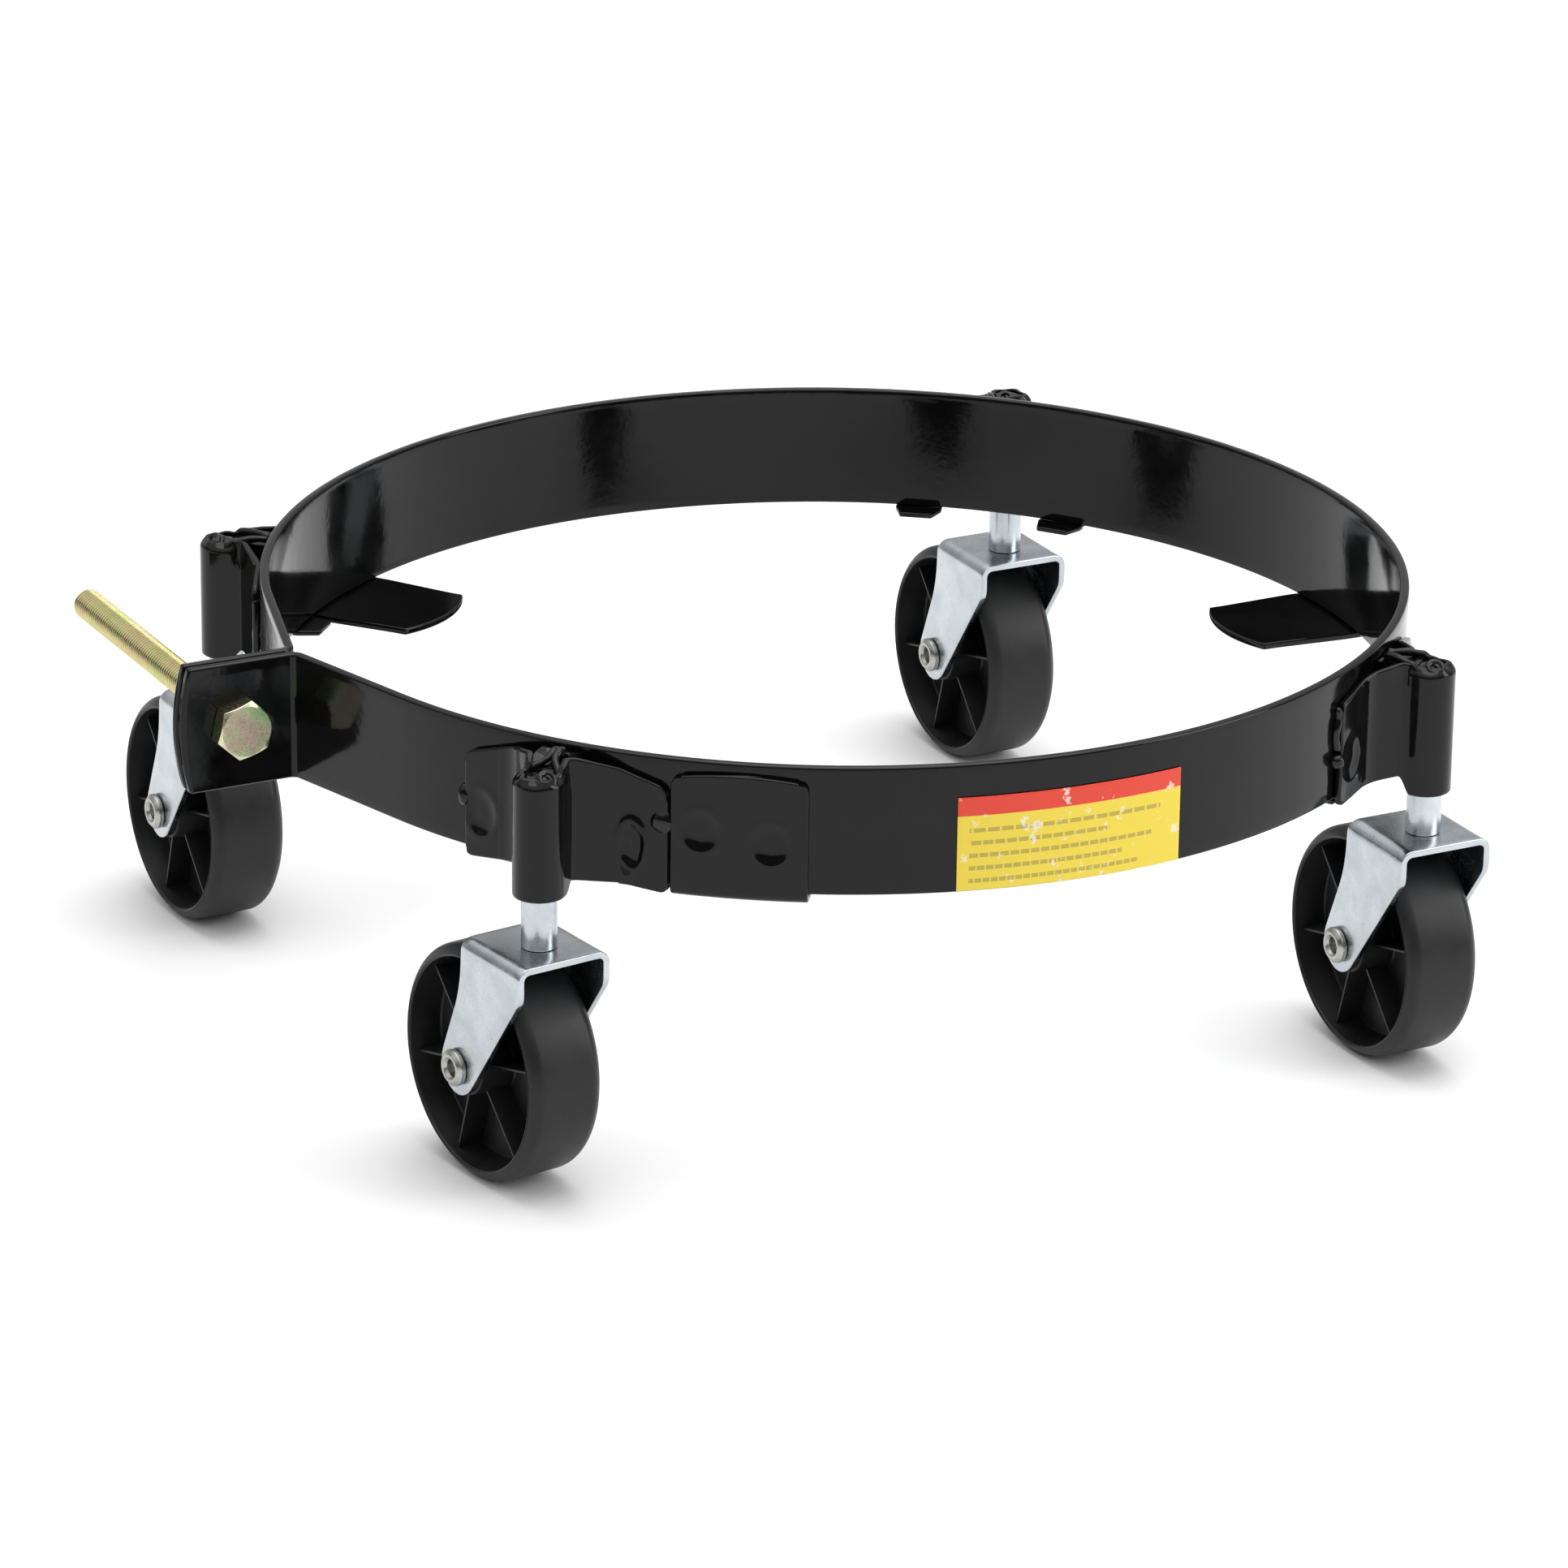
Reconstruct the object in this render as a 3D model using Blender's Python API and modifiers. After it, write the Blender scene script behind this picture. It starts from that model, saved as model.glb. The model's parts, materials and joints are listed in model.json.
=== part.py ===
"""Drum dolly: a split steel band that a clamp bolt draws round a drum, on four swivel casters.

The band carries three leaf plates that turn in under the drum, and four rolled socket brackets.
Each socket holds the stem of a caster by a split grip ring. Metres, +Z up, floor at z = 0.
"""
import math

import bmesh
import bpy
from mathutils import Matrix, Vector

MM = 0.001

# ---- driving dimensions: the band ---------------------------------------------------------------
RING_AXIS = Vector((19.07 * MM, -22.91 * MM, 0.0))   # ring axis, seen from the middle of the footprint
BAND_OUTER_RADIUS = 184.0 * MM
BAND_THICKNESS = 3.0 * MM
BAND_HEIGHT = 41.0 * MM
BAND_BOTTOM = 100.0 * MM
BAND_SEGMENTS = 72

# ---- driving dimensions: the clamp --------------------------------------------------------------
CLAMP_ANGLE = 207.6                # where the band is split, in degrees round the ring from +X
CLAMP_GAP = 1.2 * MM               # between the two ears when the clamp is drawn up
CLAMP_STRAIGHT = 50.0 * MM         # flat stretch of band beside each ear
EAR_END_RADIUS = 228.5 * MM        # from the ring axis to the tip of an ear
EAR_END_BULGE = 1.6 * MM           # how far the middle of an ear's end stands past its corners
EAR_BEND_RADIUS = 3.5 * MM
BOLT_RADIAL_PLACE = 209.2 * MM     # from the ring axis to the bolt's axis
BOLT_DIAMETER = 10.0 * MM          # M10
BOLT_LENGTH = 125.0 * MM           # under the head
BOLT_CHAMFER = 1.2 * MM
HEX_ACROSS_FLATS = 17.0 * MM
HEAD_HEIGHT = 6.4 * MM
HEX_TURN = 13.0                    # of the hexagons, in degrees about the bolt from corner-up
NUT_HEIGHT = 8.4 * MM

# ---- driving dimensions: the leaf plates under the drum ------------------------------------------
LEAF_ANGLES = {"front": 261.5, "left": 153.9, "right": 25.2}
LEAF_THICKNESS = 2.2 * MM
LEAF_HALF_WIDTH = 21.0 * MM
LEAF_TIP_HALF_WIDTH = 19.5 * MM
LEAF_CORNER_REACH = 34.0 * MM      # inwards from the band's inner face, to the corners of the tip
LEAF_TIP_BULGE = 5.0 * MM
LEAF_TOP_DROP = 3.2 * MM           # the leaf's upright ends this far below the band's top edge
LEAF_ROOT_DIP = 0.2 * MM           # how far the shelf drops under the band, clear of the drum's seat
LEAF_CORNER_RADIUS = 4.0 * MM

# ---- driving dimensions: the socket brackets ----------------------------------------------------
CASTER_ANGLES = {"front_left": 244.1, "right": 338.6, "back": 72.9, "left": 171.6}
STEM_CIRCLE_RADIUS = 200.0 * MM
STRIP_THICKNESS = 2.2 * MM
SOCKET_BORE_RADIUS = 6.0 * MM
SOCKET_TOP = 135.6 * MM
SOCKET_BOTTOM = 97.0 * MM
SOCKET_CAP_THICKNESS = 2.5 * MM
SHOULDER_TOP = 140.6 * MM          # top edge of the strip behind the socket
FOOT_HALF_WIDTH = 6.3 * MM         # half the width between the socket's walls where the ramps begin
FOOT_STANDOFF = 7.4 * MM           # from the band to there
RAMP_END = 19.5 * MM               # where the ramps come down on the band
FLANGE_END = 34.5 * MM
FLANGE_END_TOP = 131.8 * MM
FLANGE_BOTTOM = 97.9 * MM
FOOT_BOTTOM = 100.8 * MM           # the strip's bottom edge where the ramps meet the socket's walls
FOLD_ANGLE = 8.0                   # of the two folded tabs, in degrees either side of the stem
FOLD_HALF_ROOT = 8.0 * MM
FOLD_HALF_TIP = 4.0 * MM
FOLD_REACH = 7.0 * MM              # inwards from the band's inner face

# ---- driving dimensions: the casters ------------------------------------------------------------
CASTER_HEADINGS = {"front_left": 125.1, "right": 118.2, "back": 117.9, "left": 118.7}
TRAIL = 20.6 * MM                  # from the stem's axis back to the wheel's
WHEEL_RADIUS = 37.5 * MM
WHEEL_WIDTH = 26.0 * MM
WHEEL_FACETS = 28                  # one lies flat on the floor, at the wheel's radius from its axis
RIM_THICKNESS = 4.0 * MM
WEB_THICKNESS = 4.0 * MM
HUB_RADIUS = 9.5 * MM
HUB_LENGTH = 27.6 * MM
HUB_BORE_RADIUS = 5.6 * MM
RIB_COUNT = 6
RIB_START = 47.0                   # of the first rib, in degrees up from the trailing direction
RIB_THICKNESS = 1.6 * MM
RIB_INSET = 3.0 * MM               # the ribs' edges below the rim's face
SLEEVE_RADIUS = 5.2 * MM
SLEEVE_BORE_RADIUS = 4.35 * MM
AXLE_RADIUS = 4.0 * MM
AXLE_HEAD_RADIUS = 5.8 * MM
AXLE_HEAD_THICKNESS = 3.0 * MM
AXLE_HOLE_RADIUS = 2.7 * MM
AXLE_HOLE_DEPTH = 6.0 * MM
FORK_TOP = 80.6 * MM
FORK_THICKNESS = 2.2 * MM
FORK_OUTER_WIDTH = 32.8 * MM
FORK_BEND_RADIUS = 3.0 * MM
FORK_FRONT = -14.0 * MM            # leading edge, from the stem's axis
FORK_REAR = 18.0 * MM
FORK_SHOULDER = 70.0 * MM          # height where the leading edge starts to slope back
FORK_WAIST = Vector((19.2 * MM, 64.0 * MM))
FORK_END_RADIUS = 9.0 * MM
STEM_RADIUS = 5.55 * MM
STEM_TOP = 131.2 * MM
TENON_RADIUS = 4.2 * MM
RIVET_HEAD_RADIUS = 7.0 * MM
RIVET_HEAD_THICKNESS = 1.4 * MM
GROOVE_RADIUS = 4.5 * MM
GROOVE_BOTTOM = 123.4 * MM
GROOVE_TOP = 127.0 * MM
GRIP_RING_INNER = 4.85 * MM
GRIP_RING_OUTER = 5.65 * MM
GRIP_RING_GAP = 30.0               # degrees left open in the split ring

# ---- driving dimensions: the label --------------------------------------------------------------
LABEL_START = 281.9
LABEL_END = 305.0
LABEL_HEIGHT = 30.0 * MM
LABEL_LIFT = 0.6 * MM              # above the band's bottom edge
LABEL_THICKNESS = 0.3 * MM

GAP = 0.3 * MM                     # left between pieces that touch
ROUND = 18                         # facets round a turned piece


# ---- scene and materials ------------------------------------------------------------------------
def clear_scene():
    for obj in list(bpy.data.objects):
        bpy.data.objects.remove(obj, do_unlink=True)


def collection(name):
    found = bpy.data.collections.new(name)
    bpy.context.scene.collection.children.link(found)
    return found


def material(name, colour, roughness, metallic=0.0):
    made = bpy.data.materials.new(name)
    made.use_nodes = True
    shader = made.node_tree.nodes["Principled BSDF"]
    shader.inputs["Base Color"].default_value = (*colour, 1.0)
    shader.inputs["Roughness"].default_value = roughness
    shader.inputs["Metallic"].default_value = metallic
    return made


# ---- flat geometry ------------------------------------------------------------------------------
def arc(centre, radius, start, end, steps):
    """Points along an arc, from one angle to another in radians, both ends included."""
    angles = [start + (end - start) * i / steps for i in range(steps + 1)]
    return [Vector((centre[0] + radius * math.cos(a), centre[1] + radius * math.sin(a))) for a in angles]


def fillet(before, corner, after, radius, steps=4):
    """The arc that rounds a corner between two straight runs."""
    to_before = (before - corner).normalized()
    to_after = (after - corner).normalized()
    half = to_before.angle(to_after) / 2
    centre = corner + (to_before + to_after).normalized() * (radius / math.sin(half))
    first = corner + to_before * (radius / math.tan(half)) - centre
    turn = first.angle_signed(corner + to_after * (radius / math.tan(half)) - centre)
    start = math.atan2(first.y, first.x)
    return arc(centre, radius, start, start - turn, steps)


def touch_point(point, centre, radius, side):
    """Where a line from a point touches a circle, on its left (side 1) or its right (side -1)."""
    away = point - centre
    spread = math.acos(radius / away.length)
    angle = math.atan2(away.y, away.x) + side * spread
    return centre + Vector((math.cos(angle), math.sin(angle))) * radius


def angle_of(vector):
    return math.atan2(vector.y, vector.x)


# ---- solids -------------------------------------------------------------------------------------
def holder(name, data):
    """An object in the parts collection, for building with."""
    obj = bpy.data.objects.new(name, data)
    PARTS.objects.link(obj)
    return obj


def baked(obj):
    """The mesh that an object's modifiers or its curve give. The object itself is removed."""
    bpy.context.view_layer.update()
    graph = bpy.context.evaluated_depsgraph_get()
    mesh = bpy.data.meshes.new_from_object(obj.evaluated_get(graph))
    bpy.data.objects.remove(obj, do_unlink=True)
    bm = bmesh.new()
    bm.from_mesh(mesh)
    bmesh.ops.remove_doubles(bm, verts=bm.verts, dist=0.01 * MM)
    bmesh.ops.recalc_face_normals(bm, faces=bm.faces)
    bm.to_mesh(mesh)
    bm.free()
    return mesh


def plate(outline, depth, matrix=Matrix.Identity(4)):
    """A flat outline in local x and y, given a thickness centred on z = 0."""
    curve = bpy.data.curves.new("plate", "CURVE")
    curve.dimensions = "2D"
    curve.fill_mode = "BOTH"
    curve.extrude = depth / 2
    spline = curve.splines.new("POLY")
    spline.points.add(len(outline) - 1)
    for point, place in zip(spline.points, outline):
        point.co = (place.x, place.y, 0.0, 1.0)
    spline.use_cyclic_u = True
    mesh = baked(holder("plate", curve))
    mesh.transform(matrix)
    return mesh


def wall(path, bottom, top, thickness):
    """A strip of even thickness that stands on a path."""
    bm = bmesh.new()
    corners = [bm.verts.new((place.x, place.y, bottom)) for place in path]
    edges = [bm.edges.new(pair) for pair in zip(corners, corners[1:])]
    raised = bmesh.ops.extrude_edge_only(bm, edges=edges)["geom"]
    raised = [item for item in raised if isinstance(item, bmesh.types.BMVert)]
    bmesh.ops.translate(bm, verts=raised, vec=(0.0, 0.0, top - bottom))
    mesh = bpy.data.meshes.new("wall")
    bm.to_mesh(mesh)
    bm.free()
    obj = holder("wall", mesh)
    solid = obj.modifiers.new("thickness", "SOLIDIFY")
    solid.thickness = thickness
    solid.offset = 0.0
    solid.use_even_offset = True
    return baked(obj)


def turned(profile, closed=False, sweep=360.0, steps=ROUND):
    """A profile of (radius, height) turned about the z axis."""
    mesh = bpy.data.meshes.new("turned")
    places = [(radius, 0.0, height) for radius, height in profile]
    pairs = [(i, i + 1) for i in range(len(places) - 1)]
    if closed:
        pairs.append((len(places) - 1, 0))
    mesh.from_pydata(places, pairs, [])
    obj = holder("turned", mesh)
    screw = obj.modifiers.new("turn", "SCREW")
    screw.angle = math.radians(sweep)
    screw.steps = steps
    screw.render_steps = steps
    screw.use_merge_vertices = True
    screw.merge_threshold = 0.01 * MM
    return baked(obj)


def drum(radius, bottom, top, matrix=Matrix.Identity(4), facets=ROUND):
    """A round bar along local z."""
    bm = bmesh.new()
    bmesh.ops.create_cone(bm, cap_ends=True, segments=facets, radius1=radius, radius2=radius,
                          depth=top - bottom)
    bmesh.ops.translate(bm, verts=bm.verts, vec=(0.0, 0.0, (top + bottom) / 2))
    mesh = bpy.data.meshes.new("drum")
    bm.to_mesh(mesh)
    bm.free()
    mesh.transform(matrix)
    return mesh


def combine(base, tools, operation):
    """Join tools to a mesh, cut them from it, or keep only what they share."""
    obj = holder("base", base)
    helpers = []
    for tool in tools:
        helper = bpy.data.objects.new("cutter", tool)
        CUTTERS.objects.link(helper)
        helper.hide_render = True
        helper.display_type = "WIRE"
        helpers.append(helper)
        step = obj.modifiers.new("combine", "BOOLEAN")
        step.operation = operation
        step.solver = "EXACT"
        step.object = helper
    mesh = baked(obj)
    for helper in helpers:
        bpy.data.objects.remove(helper, do_unlink=True)
    return mesh


def part(name, mesh, finish, matrix=Matrix.Identity(4), parent=None, crease=35.0):
    """A named part of the dolly: a mesh in its own frame, its material and its place."""
    obj = bpy.data.objects.new(name, mesh)
    PARTS.objects.link(obj)
    mesh.materials.clear()
    mesh.materials.append(finish)
    mesh.shade_smooth()
    mesh.set_sharp_from_angle(angle=math.radians(crease))
    obj.parent = parent
    obj.matrix_local = matrix
    return obj


def marker(name, matrix, parent=None):
    """An empty that carries the parts turning about one axis."""
    empty = bpy.data.objects.new(name, None)
    empty.empty_display_size = 0.02
    PARTS.objects.link(empty)
    empty.parent = parent
    empty.matrix_local = matrix
    return empty


def station(angle):
    """The frame at one place on the ring: x outwards, y along the ring, origin on its axis."""
    return Matrix.Translation(RING_AXIS) @ Matrix.Rotation(math.radians(angle), 4, "Z")


# ---- the clamp band -----------------------------------------------------------------------------
def clamp_frame():
    """The bolt's frame: z runs along the bolt from its head, x outwards, origin between the ears."""
    turn = Matrix.Rotation(math.radians(90.0), 4, "X")
    middle = Vector((BOLT_RADIAL_PLACE, 0.0, BAND_BOTTOM + BAND_HEIGHT / 2))
    return station(CLAMP_ANGLE) @ Matrix.Translation(middle) @ turn


def band_path():
    """The band's middle line in the clamp's station frame, from one ear right round to the other."""
    radius = BAND_OUTER_RADIUS - BAND_THICKNESS / 2
    offset = (CLAMP_GAP + BAND_THICKNESS) / 2
    reach = math.hypot(radius, CLAMP_STRAIGHT)
    start = math.atan2(CLAMP_STRAIGHT, radius) + math.asin(offset / reach)
    touch = Vector((radius * math.cos(start), radius * math.sin(start)))
    along = Vector((math.sin(start), -math.cos(start)))
    bend = touch + along * CLAMP_STRAIGHT
    ear_end = Vector((EAR_END_RADIUS, offset))
    ring = arc((0.0, 0.0), radius, start, 2 * math.pi - start, BAND_SEGMENTS)
    first = [ear_end] + fillet(ear_end, bend, touch, EAR_BEND_RADIUS, 5)
    last = [Vector((place.x, -place.y)) for place in reversed(first)]
    return first + ring + last


def ear_trimmer():
    """What is cut off the ears' ends to leave them slightly bowed."""
    half = BAND_HEIGHT / 2
    radius = (half ** 2 + EAR_END_BULGE ** 2) / (2 * EAR_END_BULGE)
    spread = math.asin(half * 1.15 / radius)
    centre = Vector((EAR_END_RADIUS - BOLT_RADIAL_PLACE - radius, 0.0))
    bow = arc(centre, radius, -spread, spread, 10)
    far = bow[0].x + 12 * MM
    outline = bow + [Vector((far, bow[-1].y)), Vector((far, bow[0].y))]
    return plate(outline, 20 * MM)


def build_band(paint):
    band = wall(band_path(), BAND_BOTTOM, BAND_BOTTOM + BAND_HEIGHT, BAND_THICKNESS)
    to_bolt = station(CLAMP_ANGLE).inverted() @ clamp_frame()
    hole = drum(BOLT_DIAMETER / 2 + GAP, -15 * MM, 15 * MM, to_bolt)
    trimmer = ear_trimmer()
    trimmer.transform(to_bolt)
    band = combine(band, [hole, trimmer], "DIFFERENCE")
    part("clamp_band", band, paint, station(CLAMP_ANGLE))


def hexagon(bottom, top):
    """A hexagonal bar along local z, as the bolt's head and the nut stand."""
    turn = Matrix.Rotation(math.radians(HEX_TURN), 4, "Z")
    return drum(HEX_ACROSS_FLATS / 2 / math.cos(math.pi / 6), bottom, top, turn, 6)


def build_clamp_bolt(zinc):
    under_head = -(CLAMP_GAP / 2 + BAND_THICKNESS + GAP)
    radius = BOLT_DIAMETER / 2
    tip = under_head + BOLT_LENGTH
    inside_head = under_head - HEAD_HEIGHT / 2
    head = hexagon(under_head - HEAD_HEIGHT, under_head)
    shank = turned([(0.0, tip), (radius - BOLT_CHAMFER, tip), (radius, tip - BOLT_CHAMFER),
                    (radius, inside_head), (0.0, inside_head)])
    part("clamp_bolt", combine(head, [shank], "UNION"), zinc, clamp_frame())


def build_clamp_nut(zinc):
    start = CLAMP_GAP / 2 + BAND_THICKNESS + GAP
    end = start + NUT_HEIGHT
    bore = drum(BOLT_DIAMETER / 2 + GAP, start - 1 * MM, end + 1 * MM)
    part("clamp_nut", combine(hexagon(start, end), [bore], "DIFFERENCE"), zinc, clamp_frame())


# ---- the leaf plates ----------------------------------------------------------------------------
def leaf_section():
    """The leaf in (radius, height): up the band's outside, and in under it."""
    outer = BAND_OUTER_RADIUS + GAP + LEAF_THICKNESS
    inner = BAND_OUTER_RADIUS + GAP
    top = BAND_BOTTOM + BAND_HEIGHT - LEAF_TOP_DROP
    shelf_top = BAND_BOTTOM - GAP
    shelf_bottom = shelf_top - LEAF_THICKNESS
    seat_end = BAND_OUTER_RADIUS - BAND_THICKNESS - 1 * MM
    tip = BAND_OUTER_RADIUS - BAND_THICKNESS - LEAF_CORNER_REACH - LEAF_TIP_BULGE - 2 * MM
    bend = [Vector((outer, top)), Vector((outer, shelf_bottom)), Vector((tip, shelf_bottom))]
    bend = fillet(*bend, LEAF_THICKNESS, 4)
    corners = [(outer, top)] + [tuple(place) for place in bend]
    seat = [(tip, shelf_top), (seat_end, shelf_top), (inner, shelf_top - LEAF_ROOT_DIP)]
    return corners + [(tip, shelf_bottom)] + seat + [(inner, top)]


def leaf_plan():
    """The leaf seen from above: tapering inwards to a bowed end."""
    root = BAND_OUTER_RADIUS + 8 * MM
    corner = BAND_OUTER_RADIUS - BAND_THICKNESS - LEAF_CORNER_REACH
    radius = (LEAF_TIP_HALF_WIDTH ** 2 + LEAF_TIP_BULGE ** 2) / (2 * LEAF_TIP_BULGE)
    spread = math.asin(LEAF_TIP_HALF_WIDTH / radius)
    centre = (corner - LEAF_TIP_BULGE + radius, 0.0)
    bow = arc(centre, radius, math.pi + spread, math.pi - spread, 8)
    waist = BAND_OUTER_RADIUS - 6 * MM
    upper = [Vector((waist, LEAF_HALF_WIDTH)), Vector((root, LEAF_HALF_WIDTH))]
    lower = [Vector((place.x, -place.y)) for place in reversed(upper)]
    return bow + upper + lower


def leaf_front():
    """The leaf seen from outside the band, with its upper corners rounded off."""
    bottom = BAND_BOTTOM - 10 * MM
    top = BAND_BOTTOM + BAND_HEIGHT - LEAF_TOP_DROP
    side = LEAF_HALF_WIDTH
    low_left, low_right = Vector((-side, bottom)), Vector((side, bottom))
    top_left, top_right = Vector((-side, top)), Vector((side, top))
    right = fillet(low_right, top_right, top_left, LEAF_CORNER_RADIUS)
    left = fillet(top_right, top_left, low_left, LEAF_CORNER_RADIUS)
    return [low_left, low_right] + right + left


def leaf_mesh():
    sweep = 16.0
    bar = turned(leaf_section(), closed=True, sweep=sweep, steps=8)
    bar.transform(Matrix.Rotation(math.radians(-sweep / 2), 4, "Z"))
    plan = plate(leaf_plan(), 200 * MM, Matrix.Translation((0.0, 0.0, BAND_BOTTOM)))
    facing = Matrix(((0, 0, 1, BAND_OUTER_RADIUS), (1, 0, 0, 0), (0, 1, 0, 0), (0, 0, 0, 1)))
    front = plate(leaf_front(), 120 * MM, facing)
    return combine(bar, [plan, front], "INTERSECT")


def build_leaves(paint):
    mesh = leaf_mesh()
    for name, angle in LEAF_ANGLES.items():
        part(f"leaf_plate_{name}", mesh, paint, station(angle))


# ---- the socket brackets ------------------------------------------------------------------------
def strip_path():
    """The rolled strip's middle line in the station frame, from one flange end to the other."""
    half = STRIP_THICKNESS / 2
    flush = BAND_OUTER_RADIUS + GAP + half
    stem = Vector((STEM_CIRCLE_RADIUS, 0.0))
    ramp_angle = math.asin(RAMP_END / flush)
    end_angle = math.asin(FLANGE_END / flush)
    flange = arc((0.0, 0.0), flush, end_angle, ramp_angle, 5)
    foot = Vector((flush + FOOT_STANDOFF, FOOT_HALF_WIDTH))
    loop_radius = SOCKET_BORE_RADIUS + half
    touch = touch_point(foot, stem, loop_radius, -1)
    loop_start = angle_of(touch - stem)
    loop = arc(stem, loop_radius, loop_start, -loop_start, 14)
    rounded_ramp = fillet(flange[-2], flange[-1], foot, 4 * MM, 2)
    rounded_foot = fillet(flange[-1], foot, touch, 2.2 * MM, 3)
    first = flange[:-1] + rounded_ramp + rounded_foot
    last = [Vector((place.x, -place.y)) for place in reversed(first)]
    return first + loop + last


def strip_front():
    """The bracket seen from outside the band: a tall middle between flanges that slope down."""
    socket = SOCKET_BORE_RADIUS + STRIP_THICKNESS + 0.4 * MM
    shoulder = Vector((socket, SHOULDER_TOP))
    drop = Vector((FLANGE_END, FLANGE_END_TOP))
    low = Vector((FLANGE_END, FLANGE_BOTTOM))
    right = [Vector((socket, SOCKET_BOTTOM)), Vector((socket + 0.6 * MM, FOOT_BOTTOM)), low]
    right = right + fillet(low, drop, shoulder, 5 * MM, 4) + [shoulder]
    left = [Vector((-place.x, place.y)) for place in reversed(right)]
    return right + left


def socket_relief():
    """What is cut off the strip's top edge in front, so that the socket ends below its shoulders."""
    back = STEM_CIRCLE_RADIUS - SOCKET_BORE_RADIUS
    high = SHOULDER_TOP + 5 * MM
    outline = [Vector((back, high)), Vector((back + 1 * MM, SHOULDER_TOP - 1 * MM)),
               Vector((back + 4.5 * MM, SOCKET_TOP)), Vector((back + 25 * MM, SOCKET_TOP)),
               Vector((back + 25 * MM, high))]
    sideways = Matrix.Rotation(math.radians(90.0), 4, "X")
    return plate(outline, 40 * MM, sideways)


def fold_mesh(side):
    """One of the two tabs folded in under the band."""
    outer = BAND_OUTER_RADIUS + GAP + STRIP_THICKNESS * 0.8
    inner_face = BAND_OUTER_RADIUS - BAND_THICKNESS
    tip = inner_face - FOLD_REACH
    outline = [Vector((outer, -FOLD_HALF_ROOT)), Vector((outer, FOLD_HALF_ROOT)),
               Vector((inner_face, FOLD_HALF_ROOT)), Vector((tip, FOLD_HALF_TIP)),
               Vector((tip, -FOLD_HALF_TIP)), Vector((inner_face, -FOLD_HALF_ROOT))]
    level = BAND_BOTTOM - GAP - STRIP_THICKNESS / 2
    turn = Matrix.Rotation(math.radians(side * FOLD_ANGLE), 4, "Z")
    return plate(outline, STRIP_THICKNESS, turn @ Matrix.Translation((0.0, 0.0, level)))


def bracket_mesh():
    strip = wall(strip_path(), SOCKET_BOTTOM - 2 * MM, SHOULDER_TOP + 2 * MM, STRIP_THICKNESS)
    facing = Matrix(((0, 0, 1, STEM_CIRCLE_RADIUS), (1, 0, 0, 0), (0, 1, 0, 0), (0, 0, 0, 1)))
    strip = combine(strip, [plate(strip_front(), 100 * MM, facing)], "INTERSECT")
    strip = combine(strip, [socket_relief()], "DIFFERENCE")
    at_stem = Matrix.Translation((STEM_CIRCLE_RADIUS, 0.0, 0.0))
    cap_radius = SOCKET_BORE_RADIUS + STRIP_THICKNESS / 2
    cap = drum(cap_radius, SOCKET_TOP - SOCKET_CAP_THICKNESS - 0.4 * MM, SOCKET_TOP - 0.4 * MM, at_stem)
    return combine(strip, [cap, fold_mesh(1), fold_mesh(-1)], "UNION")


def build_brackets(paint):
    mesh = bracket_mesh()
    for name, angle in CASTER_ANGLES.items():
        part(f"{name}_socket_bracket", mesh, paint, station(angle))


# ---- the casters, in a frame with its origin on the floor under the stem, x trailing -------------
def stem_mesh():
    plate_top = FORK_TOP + GAP
    plate_under = FORK_TOP - FORK_THICKNESS - GAP
    profile = [(0.0, STEM_TOP), (STEM_RADIUS - 1.2 * MM, STEM_TOP), (STEM_RADIUS, STEM_TOP - 1.8 * MM),
               (STEM_RADIUS, GROOVE_TOP), (GROOVE_RADIUS, GROOVE_TOP), (GROOVE_RADIUS, GROOVE_BOTTOM),
               (STEM_RADIUS, GROOVE_BOTTOM), (STEM_RADIUS, plate_top), (TENON_RADIUS, plate_top),
               (TENON_RADIUS, plate_under), (RIVET_HEAD_RADIUS, plate_under),
               (RIVET_HEAD_RADIUS - 1 * MM, plate_under - RIVET_HEAD_THICKNESS),
               (0.0, plate_under - RIVET_HEAD_THICKNESS)]
    return turned(profile)


def grip_ring_mesh():
    middle = (GRIP_RING_INNER + GRIP_RING_OUTER) / 2
    half_gap = math.radians(GRIP_RING_GAP / 2)
    path = arc((0.0, 0.0), middle, half_gap, 2 * math.pi - half_gap, 18)
    return wall(path, GROOVE_BOTTOM + GAP, GROOVE_TOP - GAP, GRIP_RING_OUTER - GRIP_RING_INNER)


def leg_outline():
    """A fork leg in (trail, height): straight at the top, sloping back to a round end."""
    axle = Vector((TRAIL, WHEEL_RADIUS))
    front_top = Vector((FORK_FRONT, FORK_TOP + 5 * MM))
    shoulder = Vector((FORK_FRONT, FORK_SHOULDER))
    rear_top = Vector((FORK_REAR, FORK_TOP + 5 * MM))
    front_touch = touch_point(shoulder, axle, FORK_END_RADIUS, 1)
    rear_touch = touch_point(FORK_WAIST, axle, FORK_END_RADIUS, -1)
    front = [front_top] + fillet(front_top, shoulder, front_touch, 7 * MM, 3)
    start = angle_of(front_touch - axle)
    end = angle_of(rear_touch - axle)
    if start > 0:
        start -= 2 * math.pi
    round_end = arc(axle, FORK_END_RADIUS, start, end, 10)
    rear = fillet(rear_touch, FORK_WAIST, rear_top, 45 * MM, 4) + [rear_top]
    return front + round_end + rear


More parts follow.
